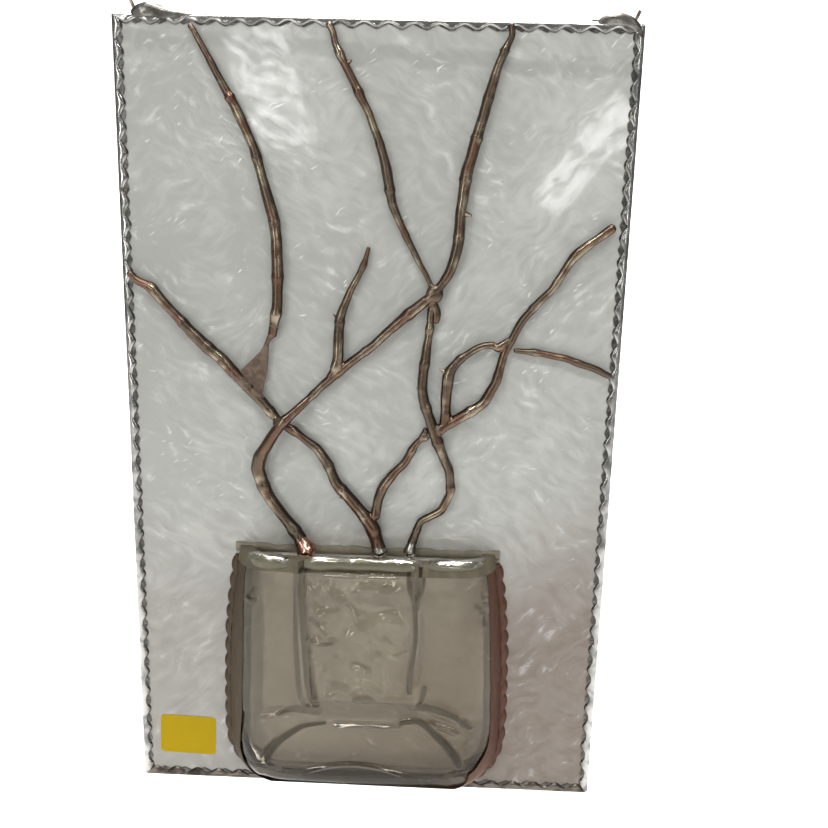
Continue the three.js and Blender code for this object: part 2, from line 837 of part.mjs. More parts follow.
// A strip down one side, from the mouth to where it meets the panel's lower foil
function sideStrip(sign) {
  const outer = pocketOutline(foilFace + STRIP.lip);
  const inner = pocketOutline(-STRIP.inside);
  const foot = lipDepth + CLEARANCE;
  const edge = [];
  let along = 0;
  outer.forEach(([x, z], i) => {
    if (i) along += Math.hypot(x - outer[i - 1][0], z - outer[i - 1][1]);
    const wave = STRIP.scallop * (0.5 - 0.5 * Math.cos((2 * Math.PI * along) / FOIL.pitch));
    const before = outer[Math.max(i - 1, 0)];
    const after = outer[Math.min(i + 1, outer.length - 1)];
    const run = Math.hypot(after[0] - before[0], after[1] - before[1]);
    const normal = [(before[1] - after[1]) / run, (after[0] - before[0]) / run];
    edge.push([x + normal[0] * wave, z + normal[1] * wave]);
  });
  const kept = (points) => points.filter(([, z]) => z > foot);
  const outline = [...kept(edge), ...kept(inner).reverse()];
  const placed = outline.map(([x, z]) => [POCKET.centre + sign * x, z]);
  return plate(sign > 0 ? placed : placed.reverse(), -FOIL.thickness, 0);
}

// The strip behind the mouth, whose upper edge is scalloped
function topStrip() {
  const half = bodyAt(POCKET.mouth, foilFace + STRIP.lip, POCKET.bottom).half;
  const low = POCKET.mouth - STRIP.topDrop - STRIP.topHeight / 2;
  const points = [
    [POCKET.centre - half, low],
    [POCKET.centre + half, low],
  ];
  const count = Math.round((2 * half) / FOIL.pitch);
  const steps = FOIL.steps * count;
  for (let i = steps; i >= 0; i--) {
    const wave = 0.5 - 0.5 * Math.cos((2 * Math.PI * count * i) / steps);
    points.push([
      POCKET.centre - half + (2 * half * i) / steps,
      low + STRIP.topHeight + (STRIP.scallop / 2) * wave,
    ]);
  }
  return plate(points, -FOIL.thickness, 0);
}

// Hanging loops

// A bent wire: a foot, a low bow that a cord passes under, a second foot and a clipped tail
function hangerLoop(centre, outward, grow = 0) {
  const rest = PANEL.height + CLEARANCE + HANGER.wire / 2;
  const bow = HANGER.span / 2;
  const path = [
    [-bow - HANGER.foot, 0],
    [-bow, 0],
    [-bow / 2, HANGER.rise * 0.85],
    [0, HANGER.rise],
    [bow / 2, HANGER.rise * 0.85],
    [bow, HANGER.kink],
    [bow + HANGER.foot / 2, HANGER.kink],
    [bow + HANGER.foot, HANGER.tail],
  ];
  const knots = path.map(
    ([x, z]) => new THREE.Vector3(centre + outward * x, PANEL.thickness / 2, rest + z),
  );
  const curve = new THREE.CatmullRomCurve3(knots, false, "centripetal");
  const rings = [];
  for (let i = 0; i <= HANGER.steps; i++) {
    const share = i / HANGER.steps;
    const station = { at: curve.getPointAt(share), along: curve.getTangentAt(share) };
    rings.push(roundSection(station, HANGER.wire / 2 + grow, TWIG.sides));
  }
  return skin(rings);
}

// The solder mound in front of a loop, run over the panel's top edge
function hangerMound(centre, outward) {
  const low = PANEL.height;
  const front = -FOIL.thickness;
  const rings = [];
  for (let i = 0; i <= MOUND.steps; i++) {
    const share = (2 * i) / MOUND.steps - 1;
    const swell = Math.max(MOUND.tip, Math.sqrt(1 - share ** 2));
    const x = centre + (share * MOUND.length) / 2;
    const height = MOUND.height * swell;
    const thick = (MOUND.thickness * (1 + swell)) / 2;
    rings.push([
      new THREE.Vector3(x, front, low),
      new THREE.Vector3(x, front - MOUND.overhang, low + height * 0.6),
      new THREE.Vector3(x, front + thick * 0.3, low + height),
      new THREE.Vector3(x, front + thick * 0.8, low + height * 0.7),
      new THREE.Vector3(x, front + thick, low),
    ]);
  }
  const wire = solidOf(hangerLoop(centre, outward, CLEARANCE));
  return mainBody(solidOf(skin(rings)).subtract(wire));
}

function stickerPlate() {
  const glassFrom = lipDepth - halfWidth;
  const glassTo = POCKET.centre - bodyHalf - foilFace - STRIP.lip - STRIP.scallop;
  const { height, corner } = STICKER;
  const w = (glassTo - glassFrom) / 2 - STICKER.margin;
  const h = height / 2;
  const shape = new THREE.Shape();
  shape.moveTo(-w + corner, -h);
  shape.lineTo(w - corner, -h);
  shape.absarc(w - corner, -h + corner, corner, -Math.PI / 2, 0);
  shape.absarc(w - corner, h - corner, corner, 0, Math.PI / 2);
  shape.absarc(-w + corner, h - corner, corner, Math.PI / 2, Math.PI);
  shape.absarc(-w + corner, -h + corner, corner, Math.PI, 1.5 * Math.PI);
  const geometry = new THREE.ExtrudeGeometry(shape, {
    depth: STICKER.thickness,
    bevelEnabled: false,
    curveSegments: 3,
  });
  return geometry
    .rotateZ(-THREE.MathUtils.degToRad(STICKER.tilt))
    .rotateX(Math.PI / 2)
    .translate((glassFrom + glassTo) / 2, 0, STICKER.fromBottom + h);
}

// The pieces

add("glass_panel", glassPanel(), materials.panelGlass);
for (const [name, { length, turn }] of Object.entries(edges)) {
  add("edge_foil_" + name, edgeFoil(length, turn, edgeWeb(name)), materials.copperFoil);
  add("edge_solder_" + name, edgeSolder(name), materials.solder);
}

const wall = wallCutter();
const free = insideFoils();
add("pocket_glass", geometryOf(pocketGlass()), materials.bottleGlass);
add("pocket_edge_wrap", geometryOf(edgeWrap(wall, free)), materials.copperFoil);
add("pocket_rim_foil", geometryOf(rimFoil(wall, free)), materials.copperFoil);
add("pocket_seam_left", geometryOf(seamSolder(-1)), materials.solder);
add("pocket_seam_right", geometryOf(seamSolder(1)), materials.solder);
add("pocket_strip_left", sideStrip(-1), materials.copperFoil);
add("pocket_strip_right", sideStrip(1), materials.copperFoil);
add("pocket_strip_top", topStrip(), materials.copperFoil);
for (const [name, geometry] of Object.entries(rimBeads())) add(name, geometry, materials.solder);

for (const [name, line] of Object.entries(twigLines)) {
  add(name + "_wood", twigWood(line), materials.wood);
  add(name + "_wrap", twigSleeve(line), materials.twigFoil);
}
add("twig_web", webPlate(), materials.twigFoil);
for (const [name, lump] of Object.entries({ ...LUMPS, ...BASES })) {
  add(name, geometryOf(twigLump(lump, spot(...lump.at))), materials.solder);
}

for (const [side, outward] of [["left", -1], ["right", 1]]) {
  const centre = outward * (halfWidth - HANGER.from[side]);
  add("hanger_loop_" + side, hangerLoop(centre, outward), materials.wire);
  add("hanger_solder_" + side, geometryOf(hangerMound(centre, outward)), materials.solder);
}

add("price_sticker", stickerPlate(), materials.paper);

// The origin is on the panel's centre line, level with the middle of the hanging loops
parts.position.set(0, -PANEL.thickness / 2, -(PANEL.height + HANGER.wire));

const vase = new THREE.Group();
vase.add(parts);

export default vase;
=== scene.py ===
"""Dresses the hanging bud vase: rippled glass panel, half-round bottle, foiled twigs and solder."""

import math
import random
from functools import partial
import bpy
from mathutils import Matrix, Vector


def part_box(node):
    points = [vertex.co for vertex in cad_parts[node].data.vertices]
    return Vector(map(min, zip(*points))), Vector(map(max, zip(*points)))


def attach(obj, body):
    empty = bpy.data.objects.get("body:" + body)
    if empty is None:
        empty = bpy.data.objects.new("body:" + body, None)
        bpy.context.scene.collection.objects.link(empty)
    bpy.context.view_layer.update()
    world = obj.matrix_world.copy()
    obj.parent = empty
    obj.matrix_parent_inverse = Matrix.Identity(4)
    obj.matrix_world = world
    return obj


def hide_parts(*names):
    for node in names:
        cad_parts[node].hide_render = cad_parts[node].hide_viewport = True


bl_info = {
    "name": "Hanging Bud Vase",
    "version": (1, 0, 0),
    "blender": (4, 5, 0),
    "location": "View3D > Sidebar > Bud Vase",
    "description": "Builds the glass, foil and solder of a hanging bud vase around its CAD frame",
    "category": "Add Mesh",
}

from types import SimpleNamespace

import bmesh
import bpy
import numpy as np
from bpy.props import FloatProperty, FloatVectorProperty, IntProperty, PointerProperty
from bpy.types import Operator, Panel, PropertyGroup
from mathutils import Matrix, Vector, noise

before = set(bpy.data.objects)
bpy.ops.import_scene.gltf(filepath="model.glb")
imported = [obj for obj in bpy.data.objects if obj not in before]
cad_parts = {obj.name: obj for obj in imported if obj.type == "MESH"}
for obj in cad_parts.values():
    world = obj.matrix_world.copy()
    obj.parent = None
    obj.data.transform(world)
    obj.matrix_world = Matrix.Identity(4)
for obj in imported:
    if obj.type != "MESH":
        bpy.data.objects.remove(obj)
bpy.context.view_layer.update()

# Pieces are laid out in millimetres from the middle of the panel's lower edge:
# x to the right, y away from the viewer with 0 on the panel's face, z up.
MM = 0.001
ORIGIN = Vector((0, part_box("glass_panel")[0].y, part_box("edge_foil_bottom")[0].z))
HALF_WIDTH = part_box("edge_foil_right")[1].x / MM
HEIGHT = (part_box("edge_foil_top")[1].z - ORIGIN.z) / MM

TWIG_NODES = (
    "trunk", "centre_fork", "left_twig", "side_shoot", "top_left_twig", "top_right_twig",
    "upper_twig", "right_twig", "right_branch", "stub_twig", "right_edge_twig",
)


def to_frame(points):
    """Millimetres on the panel to metres in the frame."""
    return np.asarray(points, float) * MM + np.array(ORIGIN)


def to_panel(points):
    """Metres in the frame to millimetres on the panel."""
    return (np.asarray(points, float) - np.array(ORIGIN)) / MM


def node_box(node):
    """A node's lowest and highest corner in panel millimetres."""
    return tuple(to_panel(corner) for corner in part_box(node))


# Shapes

SOFT_REACH = 1.6  # how far resampling softens a line, in mm
CAP_ANGLES = (24, 48, 68, 84)  # where a tube's round end has its rings, in degrees
CAP_LENGTH = 0.8  # length of a tube's round end against its radius
RUN_STEP = 0.5  # spacing of the sections along a run of solder or foil, in mm
TWIG_STEP = 0.6  # the same along a twig
BUD_STEP = 0.4  # the same along a bud or stub
MELT_STEP = 0.36  # grid that melted bodies flow into, in mm
FLOWED = 60  # on flowed metal only corners sharper than this show, in degrees


def smooth(value, low, high):
    """0 below low, 1 above high, with a soft step between them."""
    share = np.clip((np.asarray(value, float) - low) / (high - low), 0, 1)
    return share * share * (3 - 2 * share)


def bump(value, width):
    """1 where value is 0, falling off softly over about width to both sides."""
    return np.exp(-(value / width) ** 2)


def lumps(points, size, seed):
    """Soft noise from -1 to 1 at points in millimetres, with bumps about size apart."""
    shift = Vector((seed * 17.3, seed * 5.9, seed * 11.1))
    return np.array([noise.noise(Vector(point) / size + shift) for point in points])


def lumps_along(runs, size, seed, row=0.0):
    """Soft noise from -1 to 1 along a line, given how far along it each point lies."""
    return lumps(np.stack([runs, runs * 0 + row, runs * 0], axis=1), size, seed)


def run_lengths(line):
    """How far along a line each of its points lies."""
    return np.concatenate([[0], np.cumsum(np.linalg.norm(np.diff(line, axis=0), axis=1))])


def unit(vectors):
    """The directions of vectors."""
    return vectors / np.linalg.norm(vectors, axis=1)[:, None]


def grid_faces(rows, columns, wrap=False):
    """Quads over a grid of points, whose last column meets the first one if wrap is set."""
    faces = []
    for i in range(rows - 1):
        for j in range(columns if wrap else columns - 1):
            k = (j + 1) % columns
            faces.append((i * columns + j, i * columns + k, (i + 1) * columns + k, (i + 1) * columns + j))
    return faces


def loft(rings):
    """A closed body through rings of the same number of points."""
    rings = np.asarray(rings, float)
    rows, columns = rings.shape[:2]
    faces = grid_faces(rows, columns, wrap=True)
    faces.append(tuple(reversed(range(columns))))
    faces.append(tuple(range((rows - 1) * columns, rows * columns)))
    return rings.reshape(-1, 3), faces


def two_sheets(front, back):
    """Two grids of points with their faces, the front one seen from the viewer's side."""
    rows, columns = front.shape[:2]
    points = np.concatenate([front.reshape(-1, 3), back.reshape(-1, 3)])
    faces = grid_faces(rows, columns)
    faces += [tuple(rows * columns + k for k in reversed(face)) for face in faces]
    return points, faces


def slab(front, back):
    """A closed body between two grids of points."""
    rows, columns = front.shape[:2]
    count = rows * columns
    points, faces = two_sheets(front, back)
    rim = list(range(columns))
    rim += [i * columns + columns - 1 for i in range(1, rows)]
    rim += [(rows - 1) * columns + j for j in range(columns - 2, -1, -1)]
    rim += [i * columns for i in range(rows - 2, 0, -1)]
    for here, after in zip(rim, rim[1:] + rim[:1]):
        faces.append((here, here + count, after + count, after))
    return points, faces


def joined(bodies):
    """Several bodies as one list of points and one of faces."""
    points, faces, count = [], [], 0
    for body_points, body_faces in bodies:
        points.append(np.asarray(body_points, float))
        faces += [tuple(count + k for k in face) for face in body_faces]
        count += len(body_points)
    return np.concatenate(points), faces


def resampled(line, radii, step):
    """A polyline and its radii at even steps, softened along its length."""
    line, radii = np.asarray(line, float), np.asarray(radii, float)
    runs = run_lengths(line)
    spots = np.linspace(0, runs[-1], max(4, int(round(runs[-1] / step))) + 1)
    line = np.stack([np.interp(spots, runs, line[:, k]) for k in range(3)], axis=1)
    radii = np.interp(spots, runs, radii)
    for _ in range(int(round((SOFT_REACH / step) ** 2)) + 2):
        line[1:-1] = (line[:-2] + 2 * line[1:-1] + line[2:]) / 4
        radii[1:-1] = (radii[:-2] + 2 * radii[1:-1] + radii[2:]) / 4
    return line, radii


def tube(line, radii, sides, rough, seed, squash=1.0):
    """A round-ended tube along a line on the panel; rough is the share of its hammered lumps."""
    along = unit(np.gradient(line, axis=0))
    across = unit(np.cross(along, (0, 1, 0)))
    out = np.cross(across, along)
    bend = np.radians(CAP_ANGLES)

    def cap(end, sign):
        return [
            (line[end] + sign * along[end] * radii[end] * CAP_LENGTH * math.sin(angle),
             radii[end] * math.cos(angle), across[end], out[end])
            for angle in bend
        ]

    stations = cap(0, -1)[::-1] + list(zip(line, radii, across, out)) + cap(-1, 1)
    turn = np.linspace(0, 2 * math.pi, sides, endpoint=False)
    points, faces = loft([
        spot + radius * (np.outer(np.cos(turn), side) + squash * np.outer(np.sin(turn), up))
        for spot, radius, side, up in stations
    ])
    middle = np.repeat([station[0] for station in stations], sides, axis=0)
    swell = 1 + rough * (lumps(points, 4.2, seed) + 0.5 * lumps(points, 1.9, seed + 3))
    return middle + (points - middle) * swell[:, None], faces


def new_object(name, points, faces):
    """Links an object made of points and faces to the scene."""
    mesh = bpy.data.meshes.new(name)
    mesh.from_pydata([tuple(p) for p in points], [], faces)
    obj = bpy.data.objects.new(name, mesh)
    bpy.context.scene.collection.objects.link(obj)
    return obj


def melted(name, bodies, voxel, softening):
    """Bodies flowed into one skin, as solder does where pieces meet."""
    obj = new_object(name, *joined(bodies))
    mesh = obj.data
    remesh = obj.modifiers.new("flow", "REMESH")
    remesh.mode = "VOXEL"
    remesh.voxel_size = voxel
    soften = obj.modifiers.new("soften", "SMOOTH")
    soften.factor = 0.5
    soften.iterations = softening
    flowed = obj.evaluated_get(bpy.context.evaluated_depsgraph_get()).to_mesh()
    points = np.array([v.co for v in flowed.vertices])
    faces = [tuple(face.vertices) for face in flowed.polygons]
    obj.to_mesh_clear()
    bpy.data.objects.remove(obj)
    bpy.data.meshes.remove(mesh)
    if not faces:
        raise RuntimeError(f"{name} has no body left after it is melted together")
    return points, faces


def piece(name, body, material, replaces, sharp=40, marks=None):
    """Makes one piece of the vase from points and faces in panel millimetres."""
    points, faces = body
    obj = new_object(name, to_frame(points), faces)
    mesh = obj.data
    built = bmesh.new()
    built.from_mesh(mesh)
    bmesh.ops.recalc_face_normals(built, faces=built.faces)
    built.to_mesh(mesh)
    built.free()
    mesh.shade_smooth()
    mesh.set_sharp_from_angle(angle=math.radians(sharp))
    mesh.materials.append(material)
    for key, values in (marks or {}).items():
        mesh.attributes.new(key, "FLOAT", "POINT").data.foreach_set("value", values)
    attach(obj, "root")
    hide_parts(*replaces)
    return obj


def dress(node, material):
    """Gives a kept CAD node its finish."""
    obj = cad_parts[node]
    obj.data.materials.clear()
    obj.data.materials.append(material)


# Finishes

GLASS_IOR = 1.5
# White of the painted glints on the panel
GLINT_WHITE = (0.88, 0.89, 0.86)
# Grey of the painted shadow under the panel's top edge
EDGE_SHADOW_GREY = (0.27, 0.27, 0.255)
# Colour of the painted shade on the twigs' flanks
FLANK_SHADE = (0.022, 0.017, 0.012)
# The two tones that each finish mixes: dark and light, or left and right on the rim's foil
TONES = {
    # A darker copy of the edge solder for the bottom edge, as painted shade
    "edge_solder_shaded": ((0.05, 0.04, 0.032), (0.17, 0.15, 0.125)),
    "edge_foil": ((0.07, 0.068, 0.06), (0.17, 0.166, 0.15)),
    "rim_solder": ((0.13, 0.122, 0.083), (0.5, 0.48, 0.43)),
    "rim_foil": ((0.125, 0.113, 0.078), (0.145, 0.126, 0.088)),
    "foot_solder": ((0.1, 0.085, 0.07), (0.5, 0.48, 0.44)),
    "foot_copper": ((0.2, 0.1, 0.07), (0.62, 0.36, 0.28)),
    "web_copper": ((0.105, 0.072, 0.052), (0.175, 0.125, 0.09)),
    "twig_wood": ((0.10, 0.055, 0.03), (0.26, 0.16, 0.09)),
    "hanger_solder": ((0.09, 0.084, 0.075), (0.24, 0.23, 0.205)),
    "hanger_wire": ((0.16, 0.13, 0.1), (0.5, 0.42, 0.34)),
    "pale_sweep": ((0.88, 0.88, 0.88), (0.9, 0.9, 0.9)),
}


class Value:
    """A node's output with arithmetic: numbers by Math, colours by Mix, vectors by Vector Math."""

    def __init__(self, finish, socket):
        self.finish = finish
        self.socket = socket

    def _worked(self, operation, first, second):
        kinds = [side.socket.type for side in (first, second) if isinstance(side, Value)]
        if "RGBA" in kinds:
            settings = {"data_type": "RGBA", "blend_type": operation}
            return self.finish.node("ShaderNodeMix", settings, {0: 1.0, 6: first, 7: second}, out=2)
        kind = "ShaderNodeVectorMath" if "VECTOR" in kinds else "ShaderNodeMath"
        return self.finish.node(kind, {"operation": operation}, {0: first, 1: second})

    def __add__(self, other):
        return self._worked("ADD", self, other)

    def __radd__(self, other):
        return self._worked("ADD", other, self)

    def __sub__(self, other):
        return self._worked("SUBTRACT", self, other)

    def __rsub__(self, other):
        return self._worked("SUBTRACT", other, self)

    def __mul__(self, other):
        return self._worked("MULTIPLY", self, other)

    def __rmul__(self, other):
        return self._worked("MULTIPLY", other, self)

    def also(self, out):
        """Another output of the same node."""
        return Value(self.finish, self.socket.node.outputs[out])

    def step(self, low, high):
        """0 below low and 1 above high, softly."""
        settings = {"interpolation_type": "SMOOTHSTEP"}
        sockets = {"Value": self, "From Min": low, "From Max": high}
        return self.finish.node("ShaderNodeMapRange", settings, sockets)

    def between(self, first, second):
        """A colour that goes from first to second as this value goes from 0 to 1."""
        return self.finish.node("ShaderNodeMix", {"data_type": "RGBA"}, {0: self, 6: first, 7: second}, out=2)

    def spread(self, first, second):
        """A number that goes from first to second as this value goes from 0 to 1."""
        return self.finish.node("ShaderNodeMix", {"data_type": "FLOAT"}, {0: self, 2: first, 3: second})


class Finish:
    """One material: its node tree, and the nodes that every finish of the vase uses."""

    def __init__(self, name):
        self.material = bpy.data.materials.new(name)
        self.material.use_nodes = True
        self.tree = self.material.node_tree
        self.tree.nodes.clear()
        self.place = self.node("ShaderNodeTexCoord", out="Object")

    def node(self, kind, settings=None, sockets=None, out=0):
        """Adds a node: its settings first, then its sockets' values or links. Gives one of its outputs."""
        made = self.tree.nodes.new(kind)
        for key, value in (settings or {}).items():
            setattr(made, key, value)
        for key, value in (sockets or {}).items():
            socket = made.inputs[key]
            if isinstance(value, Value):
                self.tree.links.new(value.socket, socket)
                continue
            if socket.type in ("RGBA", "VECTOR") and not hasattr(value, "__len__"):
                value = (value, value, value)
            socket.default_value = (*value[:3], 1) if socket.type == "RGBA" else value
        return Value(self, made.outputs[out]) if made.outputs else None

    def noise(self, spacing, detail=2.0, place=None, out="Fac", roughness=0.5, distortion=0.0):
        """Noise with features about spacing millimetres apart."""
        sockets = {
            "Vector": place or self.place,
            "Scale": 1 / (spacing * MM),
            "Detail": detail,
            "Roughness": roughness,
            "Distortion": distortion,
        }
        return self.node("ShaderNodeTexNoise", {}, sockets, out=out)

    def stretched(self, turn, scale, place=None):
        """A place turned in the panel's plane by degrees and stretched."""
        sockets = {"Vector": place or self.place, "Rotation": (0, math.radians(turn), 0), "Scale": scale}
        return self.node("ShaderNodeMapping", {"vector_type": "TEXTURE"}, sockets)

    def mark(self, name):
        """A number that was worked out for each point of the mesh."""
        return self.node("ShaderNodeAttribute", {"attribute_name": name}, out="Fac")

    def split(self, vector=None):
        """The three parts of a vector, the place's own if none is given."""
        across = self.node("ShaderNodeSeparateXYZ", {}, {"Vector": vector or self.place}, out="X")
        return across, across.also("Y"), across.also("Z")

    def facing(self):
        """Which way the surface faces: across, away from the viewer's side, and up."""
        return self.split(self.node("ShaderNodeNewGeometry", out="Normal"))

    def relief(self, height, depth, strength):
        """A bumped normal: height from 0 to 1 stands for depth millimetres."""
        sockets = {"Height": height, "Distance": depth * MM, "Strength": strength}
        return self.node("ShaderNodeBump", {}, sockets)

    def made(self, **sockets):
        """Ends the material with its Principled shader."""
        named = {key.replace("_", " ").title().replace("Ior", "IOR"): value for key, value in sockets.items()}
        shader = self.node("ShaderNodeBsdfPrincipled", {}, named)
        self.node("ShaderNodeOutputMaterial", {}, {"Surface": shader})
        return self.material


def scaled(colour, share):
    """A lighter or darker tone of a colour."""
    return tuple(share * part for part in colour)


def rippled_panel_glass(look):
    """Pearly grey panel glass: feathered ripples, sparse painted white glints, a painted shadow band under
    the top edge, and painted shade that darkens the lower right.
    """
    finish = Finish("rippled_panel_glass")
    across, _, level = finish.split()
    cloud = finish.noise(40, 3)
    warped = finish.place + (finish.noise(24, 2, out="Color") - 0.5) * 0.016
    curled = warped + (finish.noise(9, 2, place=finish.place + 0.5, out="Color") - 0.5) * 0.005
    falling = finish.noise(9, 3, place=finish.stretched(-40, (1.0, 1.0, 0.4), warped))
    rising = finish.noise(9, 3, place=finish.stretched(35, (1.0, 1.0, 0.4), warped))
    feather = finish.noise(45, 1, place=finish.place + 0.7).step(0.44, 0.56).spread(falling, rising)
    busy = finish.noise(17, 3, place=finish.place + 0.37).step(0.48, 0.6)

    # Painted glints: short leaning white strokes, in some of the cells of a stretched pattern
    cells = {"Vector": finish.stretched(-32, (1.0, 1.0, 0.24), curled), "Scale": 1 / (7 * MM)}
    cell = finish.node("ShaderNodeTexVoronoi", {}, cells, out="Distance")
    chosen = (cell.also("Color") + 0.0).step(0.66, 0.74)
    painted_glint = (0.3 - cell).step(0.0, 0.24) * chosen * busy * level.step(-0.28, -0.1)

    # Painted shadow: a grey band about 11 mm under the top edge, where the edge casts its shade
    drop = (level + across * 0.042 + 0.0114 + (busy + cloud) * 0.003) * 260
    painted_edge_shadow = (1.0 - drop * drop + (cloud - 0.5)).step(0.0, 1.1) * 0.4
    # Painted shade: darker towards the lower right, and a little towards the bottom
    painted_low_right = (across * 1.3 - level + cloud * 0.12).step(0.32, 0.49)
    painted_dark_share = painted_low_right + (-1.0 * level).step(0.18, 0.27) * 0.42

    pearl = (cloud * 0.36 + feather * 0.64 + across * 0.5).step(0.37, 0.67)
    # The painted shadow band is laid over the pearly glass
    shaded = painted_edge_shadow.between(pearl.between(look.panel_shade, look.panel_tint), EDGE_SHADOW_GREY)
    painted_darkened = painted_dark_share.between(shaded, look.panel_painted_shade)
    # Painted highlights: the glints and the crests of the busy ripples are lightened towards white
    colour = (painted_glint * 0.75 + feather.step(0.56, 0.72) * busy * 0.28).between(painted_darkened, GLINT_WHITE)
    return finish.made(
        base_color=colour,
        roughness=0.2,
        transmission_weight=0.2,
        ior=GLASS_IOR,
        coat_weight=feather.step(0.36, 0.6) * 0.75 + 0.25,
        coat_roughness=0.04,
        normal=finish.relief(feather * (busy * 0.6 + 0.4) + cloud * 0.5, 0.5, 0.6),
    )


def bottle_glass(look):
    """Clear bottle glass with a warm grey tint, with painted shade along the moulded lines where they bend
    the light, and paler glass with painted highlights.
    """
    finish = Finish("bottle_glass")
    mottle = finish.noise(10, 3, distortion=0.8).step(0.38, 0.64)
    # Paler glass in the field, with painted highlights in its mottle and in the spots
    pale = (finish.mark("pale") * (mottle * 0.75 + 0.25)).between(look.bottle_tint, look.field_tint)
    return finish.made(
        # Painted shade along the moulded lines darkens the glass
        base_color=finish.mark("line").between(pale, look.painted_bend_shade),
        roughness=0.04,
        transmission_weight=1.0,
        specular_ior_level=0.35,
        specular_tint=(1.0, 0.91, 0.77),
        ior=GLASS_IOR,
        normal=finish.relief(finish.noise(9, 2), 0.22, 0.4),
    )


def bright_solder(name, share, spacing, roughness=(0.36, 0.16), tones=None, crest=None):
    """Solder: metal with a share of tarnish in patches, darker on its crests where that is given."""
    finish = Finish(name)
    dark, bright = tones or TONES[name]
    patch = finish.noise(spacing, 3, distortion=0.4)
    pits = finish.noise(1.6, 2)
    clean = patch.step(share - 0.14, share + 0.14)
    colour = clean.between(dark, bright)
    if crest:
        colour = (finish.mark("crest") * 0.8).between(colour, crest)
    return finish.made(
        base_color=colour,
        metallic=1.0,
        roughness=clean.spread(*roughness),
        normal=finish.relief(pits * 0.4 + patch * 0.6, 0.12, 0.5),
    )


def pooled_solder():
    """Solder pools on the bottle's mouth: clean where they face up, olive foil below."""
    finish = Finish("rim_solder")
    up = finish.facing()[2]
    pool = finish.noise(3.8, 3, place=finish.stretched(0, (2.2, 1.0, 1.0)), distortion=1.0)
    right = finish.split()[0].step(0.0, 0.03)
    clean = (up + (pool - 0.5) * 3.4 + right * 0.3).step(0.5, 1.0)
    return finish.made(
        base_color=clean.between(*TONES["rim_solder"]),
        metallic=clean.spread(0.6, 1.0),
        roughness=clean.spread(0.42, 0.14),
        normal=finish.relief(pool, 0.7, 0.7),
    )


def twig_copper(look):
    """Copper foil under flowed solder: brown metal, tinned in places, with painted shade on its flanks that
    turn sideways and back towards the panel.
    """
    finish = Finish("twig_copper")
    stretch = finish.noise(26, 2, distortion=0.5)
    patch = finish.noise(8, 2, place=finish.place + 0.2)
    fine = finish.noise(2.0, 3, roughness=0.55)
    body = stretch.step(0.42, 0.6).between(look.twig_brown, look.twig_red)
    tinned = (patch * 0.85 + fine * 0.15).step(0.48, 0.66)
    skin = (tinned * 0.85).between(body, look.twig_tin)
    # Painted shade: the skin is darkened where it faces sideways and towards the panel
    painted_flank_shade = finish.facing()[1].step(-0.8, -0.35)
    return finish.made(
        base_color=(painted_flank_shade * 0.9).between(skin, FLANK_SHADE),
        metallic=0.9,
        roughness=(tinned * 0.85 + fine * 0.15).spread(0.26, 0.14),
        normal=finish.relief(fine * 0.16 + patch * 0.84, 0.3, 0.5),
    )


def web_copper():
    """The web's flat foil: matt copper brown with faint creases."""
    finish = Finish("web_copper")
    crease = finish.noise(3.4, 3, distortion=0.8)
    return finish.made(
        base_color=crease.step(0.38, 0.66).between(*TONES["web_copper"]),
        metallic=0.5,
        roughness=0.42,
        normal=finish.relief(crease, 0.12, 0.5),
    )


def dark_foil(name):
    """Foil or wire dulled by flux and handling, with fine creases."""
    finish = Finish(name)
    crease = finish.noise(2.6, 4, roughness=0.6, distortion=1.2)
    return finish.made(
        base_color=crease.step(0.42, 0.66).between(*TONES[name]),
        metallic=0.9,
        roughness=crease.spread(0.3, 0.46),
        normal=finish.relief(crease, 0.2, 0.7),
    )


def matt_foil(name, left, right, fold=2.2):
    """Tarnished foil along the bottle, with one colour at its left side and another at its right."""
    finish = Finish(name)
    side = finish.split()[0].step(-0.02, 0.02)
    crease = finish.noise(fold, 3, place=finish.stretched(0, (1.0, 1.0, 3.0)), distortion=0.5)
    deep = side.between(scaled(left, 0.72), scaled(right, 0.72))
    return finish.made(
        base_color=crease.step(0.36, 0.68).between(deep, side.between(left, right)),
        metallic=0.35,
        specular_tint=(1.0, 0.84, 0.66),
        roughness=crease.spread(0.5, 0.62),
        normal=finish.relief(crease, 0.15, 0.6),
    )


def twig_wood():
    """Bare twig wood with grain along it."""
    finish = Finish("twig_wood")
    grain = finish.noise(1.4, 4, place=finish.stretched(0, (1, 1, 6)))
    colour = grain.step(0.35, 0.7).between(*TONES["twig_wood"])
    return finish.made(base_color=colour, roughness=0.75, normal=finish.relief(grain, 0.3, 0.8))


def sticker_paper(look):
    """Matt yellow paper with faint fibres."""
    finish = Finish("sticker_paper")
    fibre = finish.noise(0.8, 4, roughness=0.7)
    colour = fibre.step(0.3, 0.7).between(look.sticker_yellow, scaled(look.sticker_yellow, 1.08))
    normal = finish.relief(fibre, 0.04, 0.5)
    return finish.made(base_color=colour, roughness=0.75, specular_ior_level=0.15, normal=normal)


def pale_paper():
    """The plain pale sweep that the vase stands out against."""
    finish = Finish("pale_sweep")
    return finish.made(base_color=finish.noise(30, 2).between(*TONES["pale_sweep"]), roughness=0.9)


# Panel and its edges

SIDES = ("left", "right", "top", "bottom")
FEATHER_LEAN = 38  # how far the ripples in the panel's back lean, in degrees
FEATHER_STRETCH = 3.2  # how many times longer than wide they are
FEATHER_DRIFT = 9  # how far they wander, in mm


def lip_width(along, length, look):
    """How far the foil reaches in from the panel's edge."""
    count = max(1, round(length / look.scallop_pitch))
    return float(look.lip + look.scallop * (0.5 - 0.5 * np.cos(2 * np.pi * count * along / length)))


